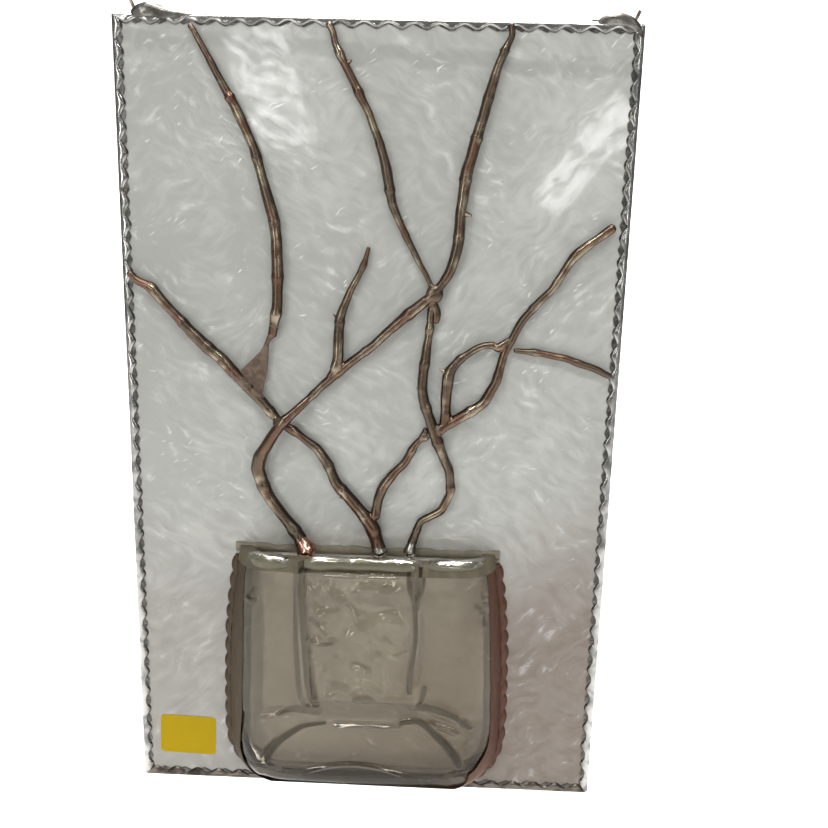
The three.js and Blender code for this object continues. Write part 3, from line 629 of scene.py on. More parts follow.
def panel_body(look):
    """The panel's slab: a nearly smooth face, and feathered ripples pressed into its back."""
    low, high = node_box("glass_panel")
    xs, zs = (np.linspace(low[k], high[k], int((high[k] - low[k]) / look.panel_step)) for k in (0, 2))
    grid_x, grid_z = np.meshgrid(xs, zs)
    flat = np.stack([grid_x.ravel(), np.zeros(grid_x.size), grid_z.ravel()], axis=1)
    turn = math.radians(FEATHER_LEAN)
    across = flat[:, 0] * math.cos(turn) + flat[:, 2] * math.sin(turn)
    down = -flat[:, 0] * math.sin(turn) + flat[:, 2] * math.cos(turn)
    drift = lumps(flat, 42, 1) * FEATHER_DRIFT
    strokes = np.stack([(across + drift) / FEATHER_STRETCH, flat[:, 1], down], axis=1)
    feather = np.clip(0.5 + 0.7 * lumps(strokes, 4.2, 3), 0, 1)
    swell = 0.5 + 0.5 * lumps(flat, 38, 2)
    edge = np.minimum(HALF_WIDTH - np.abs(flat[:, 0]), np.minimum(flat[:, 2], HEIGHT - flat[:, 2]))
    inside = smooth(edge, 1, 6)
    sheets = (look.face_ripple * swell * inside, high[1] - look.back_ripple * feather * inside)
    return slab(*(np.stack([grid_x, y.reshape(grid_x.shape), grid_z], axis=2) for y in sheets))


def edge_run_body(side, look):
    """A solder run over one edge's foil, and how far each point lies out on one of its crests."""
    upright = side in ("left", "right")
    length = HEIGHT if upright else 2 * HALF_WIDTH
    alongs = np.linspace(0.4, length - 0.4, int(length / RUN_STEP))
    seed = 1 + SIDES.index(side)
    rings, crests = [], []
    for along, sway in zip(alongs, lumps_along(alongs, 13, seed) * 0.5):
        lip = lip_width(along, length, look) + sway
        crest = min(max((lip - look.lip) / look.scallop, 0), 1)
        high = look.bead_height * (0.6 + 0.85 * crest)
        # From under the panel's rim, over its edge, up the bead and down to the lip: (inward, off the face)
        section = [
            (-0.25, 1.1), (-0.5, 0.5), (-0.55, 0.0), (-0.4, -0.4), (0.05, -0.66), (0.5, -0.88), (0.95, -0.98),
            (lip * 0.62, -0.5 - 0.55 * high), (lip * 0.78, -0.4 - 0.5 * high),
            (lip * 0.92, -0.25 - 0.25 * high), (lip, 0.06), (lip * 0.6, 0.22), (0.2, 0.25),
        ]
        if upright:
            sign = 1 if side == "right" else -1
            rings.append([((HALF_WIDTH - inward) * sign, off, along) for inward, off in section])
        else:
            rings.append([
                (along - HALF_WIDTH, off, inward if side == "bottom" else HEIGHT - inward)
                for inward, off in section
            ])
        crests += [crest * float(smooth(inward, 1.6, 3.0)) for inward, _ in section]
    points, faces = loft(rings)
    rough = lumps(points, 6.5, seed + 10) * look.broad_lumps + lumps(points, 2.6, seed + 20) * look.fine_lumps
    points[:, 1] -= np.where(points[:, 1] < -0.3, np.abs(rough) + rough * 0.4, 0)
    return (points, faces), np.array(crests)


class VASE_OT_panel(Operator):
    """Builds the rippled glass panel"""

    bl_idname = "bud_vase.panel"
    bl_label = "Glass panel"

    def execute(self, context):
        look = chosen_look(context)
        piece("rippled_panel", panel_body(look), rippled_panel_glass(look), ["glass_panel"])
        return {"FINISHED"}


class VASE_OT_edges(Operator):
    """Builds the solder runs on the panel's edge foils"""

    bl_idname = "bud_vase.edges"
    bl_label = "Edge solder"

    def execute(self, context):
        look = chosen_look(context)
        solder = bright_solder(
            "edge_solder", share=0.45, spacing=8, roughness=(0.3, 0.15),
            tones=(look.solder_dark, look.solder_bright), crest=look.solder_crest,
        )
        # The bottom edge gets a darker copy of the solder: painted shade
        shaded_solder = bright_solder("edge_solder_shaded", share=0.5, spacing=8, roughness=(0.5, 0.3))
        foil = dark_foil("edge_foil")
        for side in SIDES:
            body, crests = edge_run_body(side, look)
            metal, marks = shaded_solder if side == "bottom" else solder, {"crest": crests}
            piece(f"edge_run_{side}", body, metal, [f"edge_solder_{side}"], sharp=55, marks=marks)
            dress(f"edge_foil_{side}", foil)
        return {"FINISHED"}


# Bottle

# All in mm
LEDGE_LEVEL = 108.3  # level of the moulded ledge under the rim
SHOULDER_IN = (5.8, 3.5)  # how far the shoulder draws in by the mouth: each side, and in depth
FRONT_BOW = 1.2  # how much less the front stands out at its sides
LEAST_DEPTH = 1.1  # least distance of the bottle's skin from the panel
CUT_DEPTH = 0.6  # how far the bottle's cut edge stands off the panel
STRIP_OUT = 0.8  # how far the line that strips and seams follow lies outside the bottle
STRIP_TOP, STRIP_LOWEST = 110, 3.2  # levels between which each side strip runs
SEAM_TOP, SEAM_LOWEST = 108.6, 4.4
BAND_TOP = 109.5  # level of the two upper ends of the foil round the bottle
TOP_STRIP = (-57.6, 57.4)  # the two ends of the strip behind the mouth, across the panel


def quarter_round(share):
    """How far a rounded corner has drawn in at a share of its height."""
    return 1 - np.sqrt(1 - np.clip(share, 0, 1) ** 2)


def bottle_size(level, look, grow=0.0, floor=None):
    """The bottle's half width and its depth at a level; grow offsets its skin, floor its foot."""
    floor = look.bottle_foot if floor is None else floor
    shoulder = np.maximum(0, (level - look.shoulder_from) / (look.bottle_mouth - look.shoulder_from)) ** 3
    corner_top = look.bottle_foot + look.corner_rise
    heel_top = look.bottle_foot + look.heel_rise
    corner = quarter_round((corner_top - level) / (corner_top - floor))
    heel = quarter_round((heel_top - level) / (heel_top - floor))
    half = look.bottle_half + grow - SHOULDER_IN[0] * shoulder - look.corner_run * corner
    depth = look.bottle_depth + grow - SHOULDER_IN[1] * shoulder - look.heel_run * heel
    return float(half), float(depth)


# Moulded lines on the bottle's front: places (across, up) in mm, half widths at both ends in mm,
# how dark the glass is painted along them as painted shade where the moulding bends light, and how far they
# stand out in mm
MOULD_LINES = (
    (((-28.8, 110.1), (-28.7, 78.6), (-27.7, 59.5), (-26.8, 53.3), (-24.2, 47.7)), (0.75, 1.0), 0.62, 0.4),
    (((-25.9, 109.8), (-26.3, 100.3), (-25.0, 83.4), (-22.9, 59.7), (-20.2, 48.8)), (1.1, 1.5), 0.66, 0.4),
    (((18.9, 112.5), (18.7, 104.4), (21.6, 98.2), (22.4, 81.8), (20.4, 66.8), (20.2, 57.3)),
     (0.8, 0.9), 0.75, 0.4),
    (((24.7, 112.7), (24.5, 104.7), (23.2, 99.6), (22.3, 95.3)), (0.9, 0.8), 0.7, 0.4),
    (((21.6, 112.5), (21.8, 100.0)), (2.2, 1.2), 0.62, 0.0),
    (((23.6, 92.0), (24.2, 80.0), (23.2, 62.0)), (1.3, 1.3), 0.22, 0.0),
    (((26.6, 58.6), (25.5, 52.4)), (1.0, 0.7), 0.6, 0.3),
    (((-36.4, 44.0), (-34.1, 45.8), (-31.4, 46.6), (-27.1, 46.6), (-19.3, 46.0)), (0.5, 1.7), 0.62, 0.5),
    (((24.6, 50.6), (29.9, 49.6), (36.4, 47.5), (41.2, 45.3), (46.9, 40.9)), (1.2, 0.9), 0.72, 0.5),
    (((-43.1, 21.2), (-40.7, 25.2), (-35.8, 30.9), (-30.5, 35.0), (-26.1, 38.2), (-16.5, 40.1)),
     (1.8, 0.8), 0.9, 0.6),
    (((17.0, 41.9), (24.0, 43.4), (29.3, 39.8), (35.1, 32.8), (40.6, 25.7), (42.3, 22.2)),
     (0.9, 1.5), 0.8, 0.6),
    (((-54.4, 49.1), (-54.1, 40.8), (-52.9, 29.5), (-49.5, 23.2), (-44.6, 17.9)), (0.7, 1.0), 0.8, 0.4),
    (((-47.2, 100.5), (-48.5, 97.6), (-49.9, 95.5)), (0.6, 0.9), 0.55, 0.3),
    (((-49.2, 94.6), (-45.6, 96.0)), (0.9, 0.6), 0.4, 0.3),
    (((49.2, 101.6), (51.6, 97.2)), (0.5, 0.6), 0.5, 0.3),
    (((47.8, 96.6), (50.5, 92.6), (51.9, 87.6)), (0.6, 0.6), 0.55, 0.3),
    (((-21.9, 88.2), (-19.0, 84.6), (-15.6, 81.8)), (0.8, 0.7), 0.34, 0.4),
    (((-23.4, 79.1), (-19.4, 77.2), (-13.4, 77.9)), (0.9, 0.6), 0.4, 0.4),
    (((-12.0, 58.6), (-7.0, 57.6)), (1.4, 1.2), 0.26, 0.3),
    (((-2.2, 51.4), (1.6, 53.0), (4.2, 51.0)), (1.5, 1.4), 0.4, 0.4),
    (((-22.0, 47.2), (-8.0, 46.6), (6.0, 47.2), (21.0, 48.6)), (2.4, 2.6), 0.34, -0.3),
)
# Pale glass and painted highlights on the bottle's front: centre (across, up) and half sizes in mm, and how
# pale each is painted
PALE_AND_GLINT_SPOTS = (
    ((-2.5, 84.0), (25.0, 29.0), 0.9),
    ((-32.8, 41.6), (5.0, 2.0), 1.0),
    ((39.6, 42.4), (5.2, 1.6), 0.9),
    ((1.5, 41.2), (18.0, 2.4), 0.8),
    ((-39.0, 100.0), (8.0, 7.0), 0.45),
    ((38.0, 98.0), (8.0, 6.0), 0.45),
    ((-34.0, 26.0), (4.0, 6.0), 0.35),
)


def line_marks(x, level, line, widths):
    """How near each place lies to a moulded line, 0 to 1."""
    path = np.array([(a, 0, b) for a, b in line], float)
    path, halves = resampled(path, np.linspace(*widths, len(path)), 0.8)
    away = np.hypot(x[:, None] - path[None, :, 0], level[:, None] - path[None, :, 2])
    nearest = np.argmin(away, axis=1)
    share = away[np.arange(len(x)), nearest] / (1.35 * halves[nearest])
    return np.clip(1.6 - share * share, 0, 1)


def bottle_relief(x, level):
    """How far the bottle's moulded front stands out, how dark its glass is painted as shade, and how pale it
    is painted, partly as highlights.
    """
    lean = smooth(LEDGE_LEVEL - level, 0, 60)
    left_rib, right_rib = -27.4 + 3.4 * lean, 22.4 - 0.8 * lean
    place = np.stack([x, x * 0, level], axis=1)
    waver = lumps(place, 13, 6) * 0.35

    def rib(line):
        return np.cos(np.clip((x - line + waver) / 2.6, -1, 1) * math.pi / 2) ** 2

    # The two upright ribs, and the hammered label field between them
    foot = 51.5 - np.where(x < 0, 5.0, 9.0) * (x / 40) ** 2
    above = smooth(level, foot - 1.0, foot + 1.0)
    out = 1.3 * np.maximum(rib(left_rib), rib(right_rib)) * above
    field = smooth(x, left_rib + 1.6, left_rib + 2.8) * smooth(-x, -right_rib + 1.6, -right_rib + 2.8)
    field = field * smooth(level, foot + 1.5, foot + 4.5) * smooth(-level, -LEDGE_LEVEL, -LEDGE_LEVEL + 1.2)
    hammered = 2.9 * (0.4 - np.abs(lumps(place, 12.0, 7) + 0.3 * lumps(place, 5.0, 8)))
    out += field * (hammered - 1.0) - 0.8 * (1 - above)

    # The ledge with a dip in its middle, the sunk arch with its lip and ears, and the heel's arc
    wide = np.abs(x + 1)
    dip = 0.9 * bump(x + 1.9, 2.2)
    ledge = bump(level - LEDGE_LEVEL - 0.25 + dip, 1.0) * smooth(16.4 - np.abs(x + 1.6), 0, 1.5)
    arch = 42.0 - 21 * (wide / 43) ** 4
    inside = smooth(arch - level, -0.4, 1.4) * smooth(46 - wide, 0, 3)
    lip = 1.7 * bump(level - 39.2 - 0.03 * x, 0.9) * smooth(17 - np.abs(x - 2.5), 0, 3)
    ear = 1.5 * bump(level - foot + 4.4, 1.5) * smooth(wide, 28, 33) * smooth(-wide, -46, -40)
    arc = 19.2 - 6.5 * ((x + 3) / 24) ** 2
    heel = bump(level - arc, 0.9) * smooth(25 - np.abs(x + 3), 0, 8)
    out += 1.7 * ledge - inside * (0.7 + 1.3 * np.clip((arch - level) / 26, 0, 1)) + lip + ear + 0.8 * heel

    # Painted shade: the glass is painted dark below the heel's arc and along each moulded line, where the
    # moulding bends the light, and pale in the field, partly as painted highlights
    dark = 0.55 * smooth(arc - level, -0.5, 1.5) * smooth(32 - np.abs(x + 3), 0, 8)
    for line, widths, depth, height in MOULD_LINES:
        near = line_marks(x, level, line, widths)
        dark = np.maximum(dark, min(1.0, 1.25 * depth) * near)
        out += height * near
    pale = field * 0
    for (mid_x, mid_z), (half, high), strength in PALE_AND_GLINT_SPOTS:
        gone = np.hypot((x - mid_x) / half, (level - mid_z) / high)
        pale = np.maximum(pale, strength * smooth(-gone, -1.15, -0.7))
    return out, dark, np.maximum(pale, 0.9 * field)


def bottle_wall(look, grow, floor, carved):
    """A grid of points over the bottle's outside or inside, from its foot to its mouth, with its marks."""
    share = np.linspace(0, 1, look.bottle_rows)
    levels = floor + (look.bottle_mouth - floor) * (share ** 1.05)
    turns = np.radians(np.linspace(0, 90, 17))
    rows, darks, pales = [], [], []
    for level in levels:
        half, depth = bottle_size(level, look, grow, floor)
        side_x = half - look.side_round * (1 - np.cos(turns))
        flat = np.linspace(-side_x[-1], side_x[-1], look.bottle_columns)[1:-1]
        x = np.concatenate([-side_x, flat, side_x[::-1]])
        out = np.concatenate([np.sin(turns), np.ones(len(flat)), np.sin(turns)[::-1]])
        y = (depth - FRONT_BOW * (x / half) ** 2) * out
        dark = pale = x * 0
        if carved:
            relief, dark, pale = bottle_relief(x, np.full(len(x), level))
            y = y + out * relief
            # Painted shade: darker glass in the lower corners and towards the foot
            corner = 0.6 * smooth(np.abs(x) - half, -9, -2) * smooth(-level, -38, -20)
            dark = np.maximum(dark, np.maximum(corner, 0.45 * smooth(-level, -17, -8)))
        # The cut edge turns in to the panel at both sides
        x = np.concatenate([x[:1], x, x[-1:]])
        y = np.concatenate([[CUT_DEPTH], np.maximum(y, LEAST_DEPTH), [CUT_DEPTH]])
        rows.append(np.stack([x + look.bottle_centre, -y, np.full(len(x), level)], axis=1))
        darks.append(np.concatenate([[0], dark, [0]]))
        pales.append(np.concatenate([[0], pale, [0]]))
    return np.array(rows), np.concatenate(darks), np.concatenate(pales)


def bottle_body(look):
    """The half bottle: a wall around the front and sides and a thick base, open at back and top."""
    outer, dark, pale = bottle_wall(look, 0, look.bottle_foot, True)
    inner = bottle_wall(look, -look.bottle_wall, look.bottle_foot + look.bottle_base, False)[0]
    rows, columns = outer.shape[:2]
    count = rows * columns
    points, faces = two_sheets(outer, inner)
    for i in range(rows - 1):
        for j, turn in ((0, 1), (columns - 1, -1)):
            here, above = i * columns + j, (i + 1) * columns + j
            faces.append((here, above, count + above, count + here)[::turn])
    top = (rows - 1) * columns
    for j in range(columns - 1):
        faces.append((top + j, top + j + 1, count + top + j + 1, count + top + j))
    faces.append(tuple(range(columns - 1, -1, -1)))
    faces.append(tuple(count + j for j in range(columns)))
    faces.append((0, columns - 1, count + columns - 1, count))
    # The painted shade is the mark line; the pale glass and painted highlights are the mark pale
    clear = np.zeros(count)
    return (points, faces), {"line": np.concatenate([dark, clear]), "pale": np.concatenate([pale, clear])}


def bottle_outline(look, grow, top):
    """Points down the bottle's side and round its lower corner: right half, level."""
    floor = look.bottle_foot - grow
    corner_top = look.bottle_foot + look.corner_rise
    levels = list(np.arange(top, corner_top, -RUN_STEP))
    levels += list(corner_top - (corner_top - floor) * np.sin(np.radians(np.linspace(0, 90, 70))))
    return np.array([(bottle_size(level, look, grow, floor)[0], level) for level in levels])


def scallops(along, pitch):
    """Rounded bumps with sharp notches between them, 0 to 1."""
    return np.abs(np.sin(np.pi * along / pitch)) ** 0.7


def outward(line):
    """The direction out of an outline at each of its points."""
    ahead = unit(np.gradient(line, axis=0))
    return np.stack([-ahead[:, 1], ahead[:, 0]], axis=1)


def outline_section(spot, out, sign, look, section):
    """A section across one side of the bottle's outline, from (distance out, distance off the panel)."""
    (x, level), (out_x, out_z) = spot, out
    return [(look.bottle_centre + sign * (x + out_x * d), -off, level + out_z * d) for d, off in section]


def side_strip_body(sign, look):
    """The scalloped foil and solder band along one side of the bottle."""
    line = bottle_outline(look, STRIP_OUT, STRIP_TOP)
    normal = outward(line)
    runs = run_lengths(line)
    wander = lumps_along(runs, 17, 30 + sign)
    rings = []
    for spot, out, wave, sway in zip(line, normal, scallops(runs + 1.6 * wander, look.strip_pitch), wander):
        reach = 1.1 + 1.4 * wave + 0.4 * sway
        if (spot + out * reach)[1] < STRIP_LOWEST:
            break
        thick = 1.2 + 0.5 * wave
        rings.append(outline_section(spot, out, sign, look, [
            (-2.6, 0.0), (-2.6, 0.5), (-0.6, 1.5 * thick), (reach * 0.35, 1.35 * thick),
            (reach * 0.7, 1.05 * thick), (reach * 0.93, 0.5 * thick), (reach, 0.0),
        ]))
    points, faces = loft(rings)
    points[:, 1] -= np.where(points[:, 1] < -0.5, lumps(points, 3.5, 40 + sign) * 0.25, 0)
    return points, faces


def face_depth(x, half, depth, look):
    """How far the plain bottle stands out at a place across it, given its half width and depth there."""
    over = min(max((abs(x) - half) / look.side_round + 1, 0), 1)
    return (depth - FRONT_BOW * (x / half) ** 2) * math.sqrt(1 - over ** 2)


# How far the foil reaches in over each side of the bottle's face: (run from its top, reach) in mm
BAND_REACH = {
    -1: ((0, 4.2), (20, 6.4), (40, 7.9), (66, 7.6), (82, 6.6), (98, 5.0), (108, 3.0), (118, 1.5)),
    1: ((0, 3.9), (20, 4.6), (40, 5.0), (66, 4.6), (78, 4.6), (90, 8.0), (100, 9.5), (108, 6.0), (118, 2.0)),
}


def band_body(look):
    """Foil wrapped round the bottle's cut edge and up over its sides, corners and heel."""
    line = bottle_outline(look, 0.0, BAND_TOP)
    normal = outward(line)
    runs = run_lengths(line)
    stations = [(-1, k) for k in range(len(line))] + [(1, k) for k in range(len(line) - 1, -1, -1)]
    rings = []
    for sign, k in stations:
        (x, level), (out_x, out_z) = line[k], normal[k]
        spots, reaches = zip(*BAND_REACH[sign])
        wide = float(np.interp(runs[k], spots, reaches))
        wide += 0.25 * noise.noise(Vector((level / 9, x / 9, sign)))
        turns = np.linspace(0, math.acos(1 - wide / look.side_round), 9)
        inwards = look.side_round * (1 - np.cos(turns))
        ring = outline_section(line[k], normal[k], sign, look, [(0.0, 0.7), (0.5, 0.7)])
        # Out over the glass, and back in under its skin
        for inward, lift in [(d, 0.4) for d in inwards] + [(d, -0.35) for d in inwards[:0:-2]]:
            spot_x, spot_z = x - out_x * inward, level - out_z * inward
            size = bottle_size(max(spot_z, look.bottle_foot), look)
            face = max(LEAST_DEPTH, face_depth(spot_x, *size, look)) + lift
            edge = 0.4 if inward == 0 else 0.0
            ring.append((look.bottle_centre + sign * (spot_x + out_x * edge), -face, spot_z + out_z * edge))
        rings.append(ring)
    points, faces = loft(rings)
    points[:, 1] -= lumps(points, 5, 44) * 0.1
    return points, faces


def top_strip_body(look):
    """The foil band on the panel behind the bottle's mouth, with low soft crests."""
    xs = np.arange(*TOP_STRIP, RUN_STEP)
    wander = lumps_along(xs, 15, 50)
    wave = scallops(xs + 2 * wander, look.strip_pitch * 1.3)
    rings = []
    for x, w, j in zip(xs, wave, wander):
        high = 115.0 + 0.7 * w + 0.7 * j
        rings.append([
            (x, 0.0, 111.4), (x, -0.5, 111.6), (x, -1.3 - 0.1 * w, 113.0), (x, -1.45 - 0.1 * w, high - 1.6),
            (x, -1.0, high - 0.4), (x, 0.0, high),
        ])
    points, faces = loft(rings)
    points[:, 1] -= np.where(points[:, 1] < -0.4, lumps(points, 6, 52) * 0.15, 0)
    return points, faces


def seam_body(sign, look):
    """The solder fillet between the bottle's side and the strip."""
    line = bottle_outline(look, STRIP_OUT, SEAM_TOP)
    swells = lumps_along(line[:, 1], 6, 60 + sign, line[:, 0]) * 0.25
    rings = []
    for spot, out, swell in zip(line, outward(line), swells):
        if spot[1] < SEAM_LOWEST:
            break
        wide = 1.4 + swell
        rings.append(outline_section(spot, out, sign, look, [
            (-1.2, 0.4), (-1.1, 2.4 + swell), (0.1, 2.3 + swell), (wide * 0.7, 1.5), (wide, 0.5),
        ]))
    return loft(rings)


class VASE_OT_bottle(Operator):
    """Builds the half bottle that holds the water"""

    bl_idname = "bud_vase.bottle"
    bl_label = "Bottle"

    def execute(self, context):
        look = chosen_look(context)
        glass = bottle_glass(look)
        body, marks = bottle_body(look)
        piece("bottle_wall", body, glass, ["pocket_glass"], sharp=50, marks=marks)
        return {"FINISHED"}


class VASE_OT_strips(Operator):
    """Builds the foil strips and seams that hold the bottle to the panel"""

    bl_idname = "bud_vase.strips"
    bl_label = "Bottle strips"

    def execute(self, context):
        look = chosen_look(context)
        foil = matt_foil("strip_foil", look.strip_left, look.strip_right)
        olive = matt_foil("strip_foil_top", look.strip_top, look.strip_top, fold=6)
        for side, sign in (("left", -1), ("right", 1)):
            strip, seam = side_strip_body(sign, look), seam_body(sign, look)
            piece(f"bottle_strip_{side}", strip, foil, [f"pocket_strip_{side}"])
            piece(f"bottle_seam_{side}", seam, foil, [f"pocket_seam_{side}"])
        piece("bottle_strip_top", top_strip_body(look), olive, ["pocket_strip_top"])
        piece("bottle_band", band_body(look), foil, ["pocket_edge_wrap"])
        return {"FINISHED"}


def rim_run_body(start, stop, look, seed):
    """A solder run over the bottle's mouth: rounded top, drooping front band."""
    half, depth = bottle_size(look.bottle_mouth, look)
    xs = np.arange(start, stop + 0.01, RUN_STEP)
    rings = []
    for k, x in enumerate(xs):
        outer = face_depth(x, half, depth, look)
        ends = min(k, len(xs) - 1 - k) * RUN_STEP
        fade = 0.15 + 0.85 * math.sin(min(1.0, ends / 5.0) * math.pi / 2)
        sway = noise.noise(Vector((x / 9, seed, 0)))
        ripple = noise.noise(Vector((x / 4, seed, 5)))
        drop = (3.6 - 0.014 * x + 0.4 * sway) * (0.75 + 0.25 * fade)
        proud = 1.3 * fade
        base = look.bottle_mouth + 0.008 * (x + 50)
        top = base + 1.9 * fade + 0.3 * sway
        inside = outer - look.bottle_wall
        # From the droop in front, up over the rim, and down inside the mouth: (off the panel, level)
        section = [
            (outer + 0.3, base - drop), (outer + 0.5 + 0.45 * proud, base - drop + 0.4),
            (outer + 0.5 + 0.8 * proud, base - drop + 1.3), (outer + 0.5 + proud, base - 1.2),
            (outer + 0.5 + proud, base - 0.2), (outer + 0.45 + 0.75 * proud, base + 0.8),
            (outer + 0.2, top - 0.3 + 0.25 * ripple), (outer - 1.0, top),
            (inside + 1.4, top - 0.2 + 0.35 * ripple), (inside + 0.2, top - 0.7),
            (inside - 0.7, base + 0.2), (inside - 0.5, base - 2.6),
            (inside + 0.6, base - 2.8), (outer - 0.6, base - 2.9),
        ]
        rings.append([(look.bottle_centre + x, -y, z) for y, z in section])
    points, faces = loft(rings)
    long = points / np.array((2.2, 1, 1))
    points[:, 1] -= 0.3 * lumps(long, 3.0, seed + 5)
    points[:, 2] += 0.2 * lumps(long, 3.0, seed + 9)
    return points, faces


# Each solder run on the mouth: its two ends across the bottle in mm
RIM_RUNS = {"left": (-50.5, -31.6), "centre": (-25.4, 24.4), "right": (26.8, 51)}


class VASE_OT_rim(Operator):
    """Builds the three bright solder runs on the bottle's mouth"""

    bl_idname = "bud_vase.rim"
    bl_label = "Rim solder"

    def execute(self, context):
        look = chosen_look(context)
        solder = pooled_solder()
        for name, (start, stop) in RIM_RUNS.items():
            body = rim_run_body(start, stop, look, 70 + start)
            piece(f"rim_run_{name}", body, solder, [f"rim_solder_{name}"])
        dress("pocket_rim_foil", matt_foil("rim_foil", *TONES["rim_foil"], fold=5))
        return {"FINISHED"}


# Twigs


def sleeve_line(name):
    """A twig's centre line and radii, from the rings of its CAD sleeve."""
    node = f"{name}_wrap"
    bm = bmesh.new()
    bm.from_mesh(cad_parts[node].data)
    bmesh.ops.remove_doubles(bm, verts=bm.verts, dist=2e-5)
    bm.verts.ensure_lookup_table()
    # Corners along the sleeve meet six edges each, but those of a closed end's ring don't
    odd = {v for v in bm.verts if len(v.link_edges) != 6}
    start = min(odd, key=lambda v: v.index)
    ring, grow = {start}, [start]
    while grow:
        here = grow.pop()
        for edge in here.link_edges:
            other = edge.other_vert(here)
            if other in odd and other not in ring:
                ring.add(other)
                grow.append(other)
    rings, seen = [], set()
    while ring:
        rings.append(np.array([to_panel(v.co) for v in sorted(ring, key=lambda v: v.index)]))
        seen |= ring
        ring = {e.other_vert(v) for v in ring for e in v.link_edges} - seen
    bm.free()
    if any(len(r) != 6 for r in rings):
        raise RuntimeError(f"{node} isn't made of six-sided rings: {[len(r) for r in rings]}")
    centres = np.array([r.mean(axis=0) for r in rings])
    radii = np.array([np.linalg.norm(r - c, axis=1).mean() for r, c in zip(rings, centres)])
    # The rings run along the outside and back through the bore, and share a centre where these meet
    count = (len(rings) + 1) // 2
    jumps = np.linalg.norm(np.diff(centres, axis=0), axis=1)
    if int(np.argmin(jumps)) != count - 1:
        centres, radii = centres[::-1], radii[::-1]
    return centres[:count], radii[:count]


def twig_line(name, look):
    """A twig's centre line and radii at even steps."""
    line, radii = sleeve_line(name)
    return resampled(line, radii * look.twig_share, TWIG_STEP)


# Short stubs and buds on the twigs: places along each one (across, up) and its radii, in mm
BUDS = {
    "side_shoot": [(((-13.6, 214.5), (-15.4, 216.6)), (0.9, 0.3))],
    "right_twig": [
        (((24.6, 222.6), (26.0, 220.6), (26.8, 217.6), (26.2, 215.2)), (1.7, 1.6, 1.8, 1.5)),
        (((21.2, 186.4), (19.3, 187.0)), (1.0, 0.35)),
    ],
    "stub_twig": [(((31.8, 193.4), (28.4, 195.6)), (1.6, 0.3))],
    "trunk": [(((-9.6, 139.6), (-12.2, 138.4)), (1.6, 0.4))],
    "top_right_twig": [
        (((49.6, 318.6), (47.4, 319.8)), (0.9, 0.3)),
        (((35.4, 258.4), (38.6, 257.6)), (1.4, 0.7)),
    ],
    "upper_twig": [
        (((-11.0, 313.2), (-9.2, 314.6)), (1.0, 0.4)),
        (((6.8, 262.4), (9.2, 260.8)), (1.5, 0.5)),
    ],
}
# Where a twig's tip runs on past its sleeve, into the solder that holds it: (across, up) in mm
TIPS = {
    "top_left_twig": (-71.2, 325.8),
    "upper_twig": (-17.8, 327.4),
    "top_right_twig": (51.4, 328.4),
    "centre_fork": (23.4, 169.0),
    "trunk": (-98.5, 230.7),
}
# Where a twig is stouter than its sleeve: (across, up), how much, and over what length, in mm
SWELLS = {
    "trunk": (((-72.0, 208.0), 0.3, 16.0), ((-92.0, 227.0), 0.45, 9.0)),
    "left_twig": (((-47.5, 153.0), 0.5, 10.0),),
}
STOUTER = {"right_edge_twig": 1.2}  # a whole twig's thickness against its sleeve
# The small knots along every twig, least and most in mm: place of the first, thickness, length and spacing
FIRST_KNOT, KNOT_SIZE, KNOT_LENGTH, KNOT_GAP = (6, 16), (0.1, 0.5), (1.0, 2.2), (12, 26)
BARE_TIP = 3  # the stretch at a twig's end without knots, in mm


def twig_body(name, look):
    """A foiled twig: its sleeve's line with hammered lumps, a slight wriggle and knots."""
    seed = TWIG_NODES.index(name)
    line, radii = sleeve_line(name)
    if name in TIPS:
        x, z = TIPS[name]
        first = np.hypot(line[0][0] - x, line[0][2] - z) < np.hypot(line[-1][0] - x, line[-1][2] - z)
        end, place = (0, 0) if first else (-1, len(line))
        line = np.insert(line, place, (x, line[end][1], z), axis=0)
        radii = np.insert(radii, place, radii[end])
    line, radii = resampled(line, radii * look.twig_share, TWIG_STEP)
    radii *= STOUTER.get(name, 1.0)
    for spot, gain, reach in SWELLS.get(name, ()):
        radii += gain * bump(np.linalg.norm(line[:, ::2] - spot, axis=1), reach)
    draw = random.Random(seed + 11)
    runs = np.arange(len(line)) * TWIG_STEP
    fade = smooth(np.minimum(runs, runs[-1] - runs), 0, 5)
    for k in (0, 2):
        line[:, k] += 0.25 * lumps_along(runs, 8, 21 + k // 2, seed * 40) * fade
    radii *= 1 + 0.09 * lumps_along(runs, 9, 23, seed * 40)
    spot = draw.uniform(*FIRST_KNOT)
    while spot < runs[-1] - BARE_TIP:
        size = draw.uniform(*KNOT_SIZE)
        radii += size * bump(runs - spot, draw.uniform(*KNOT_LENGTH))
        spot += draw.uniform(*KNOT_GAP)
    bodies = [tube(line, radii, sides=24, rough=0.035, seed=seed * 2.3)]
    for places, thick in BUDS.get(name, ()):
        depth = line[np.argmin(np.linalg.norm(line[:, ::2] - places[0], axis=1)), 1]
        stem = np.array([(x, depth, z) for x, z in places])
        bodies.append(tube(*resampled(stem, thick, BUD_STEP), sides=14, rough=0.05, seed=seed + 0.5))
    return joined(bodies)


class VASE_OT_twigs(Operator):
    """Builds the foiled twigs over their wood"""

    bl_idname = "bud_vase.twigs"
    bl_label = "Foiled twigs"

    def execute(self, context):
        look = chosen_look(context)
        foil, wood = twig_copper(look), twig_wood()
        for name in TWIG_NODES:
            piece(f"{name}_foil", twig_body(name, look), foil, [f"{name}_wrap"], FLOWED)
            dress(f"{name}_wood", wood)
        return {"FINISHED"}


# Joints between twigs, and their solder feet

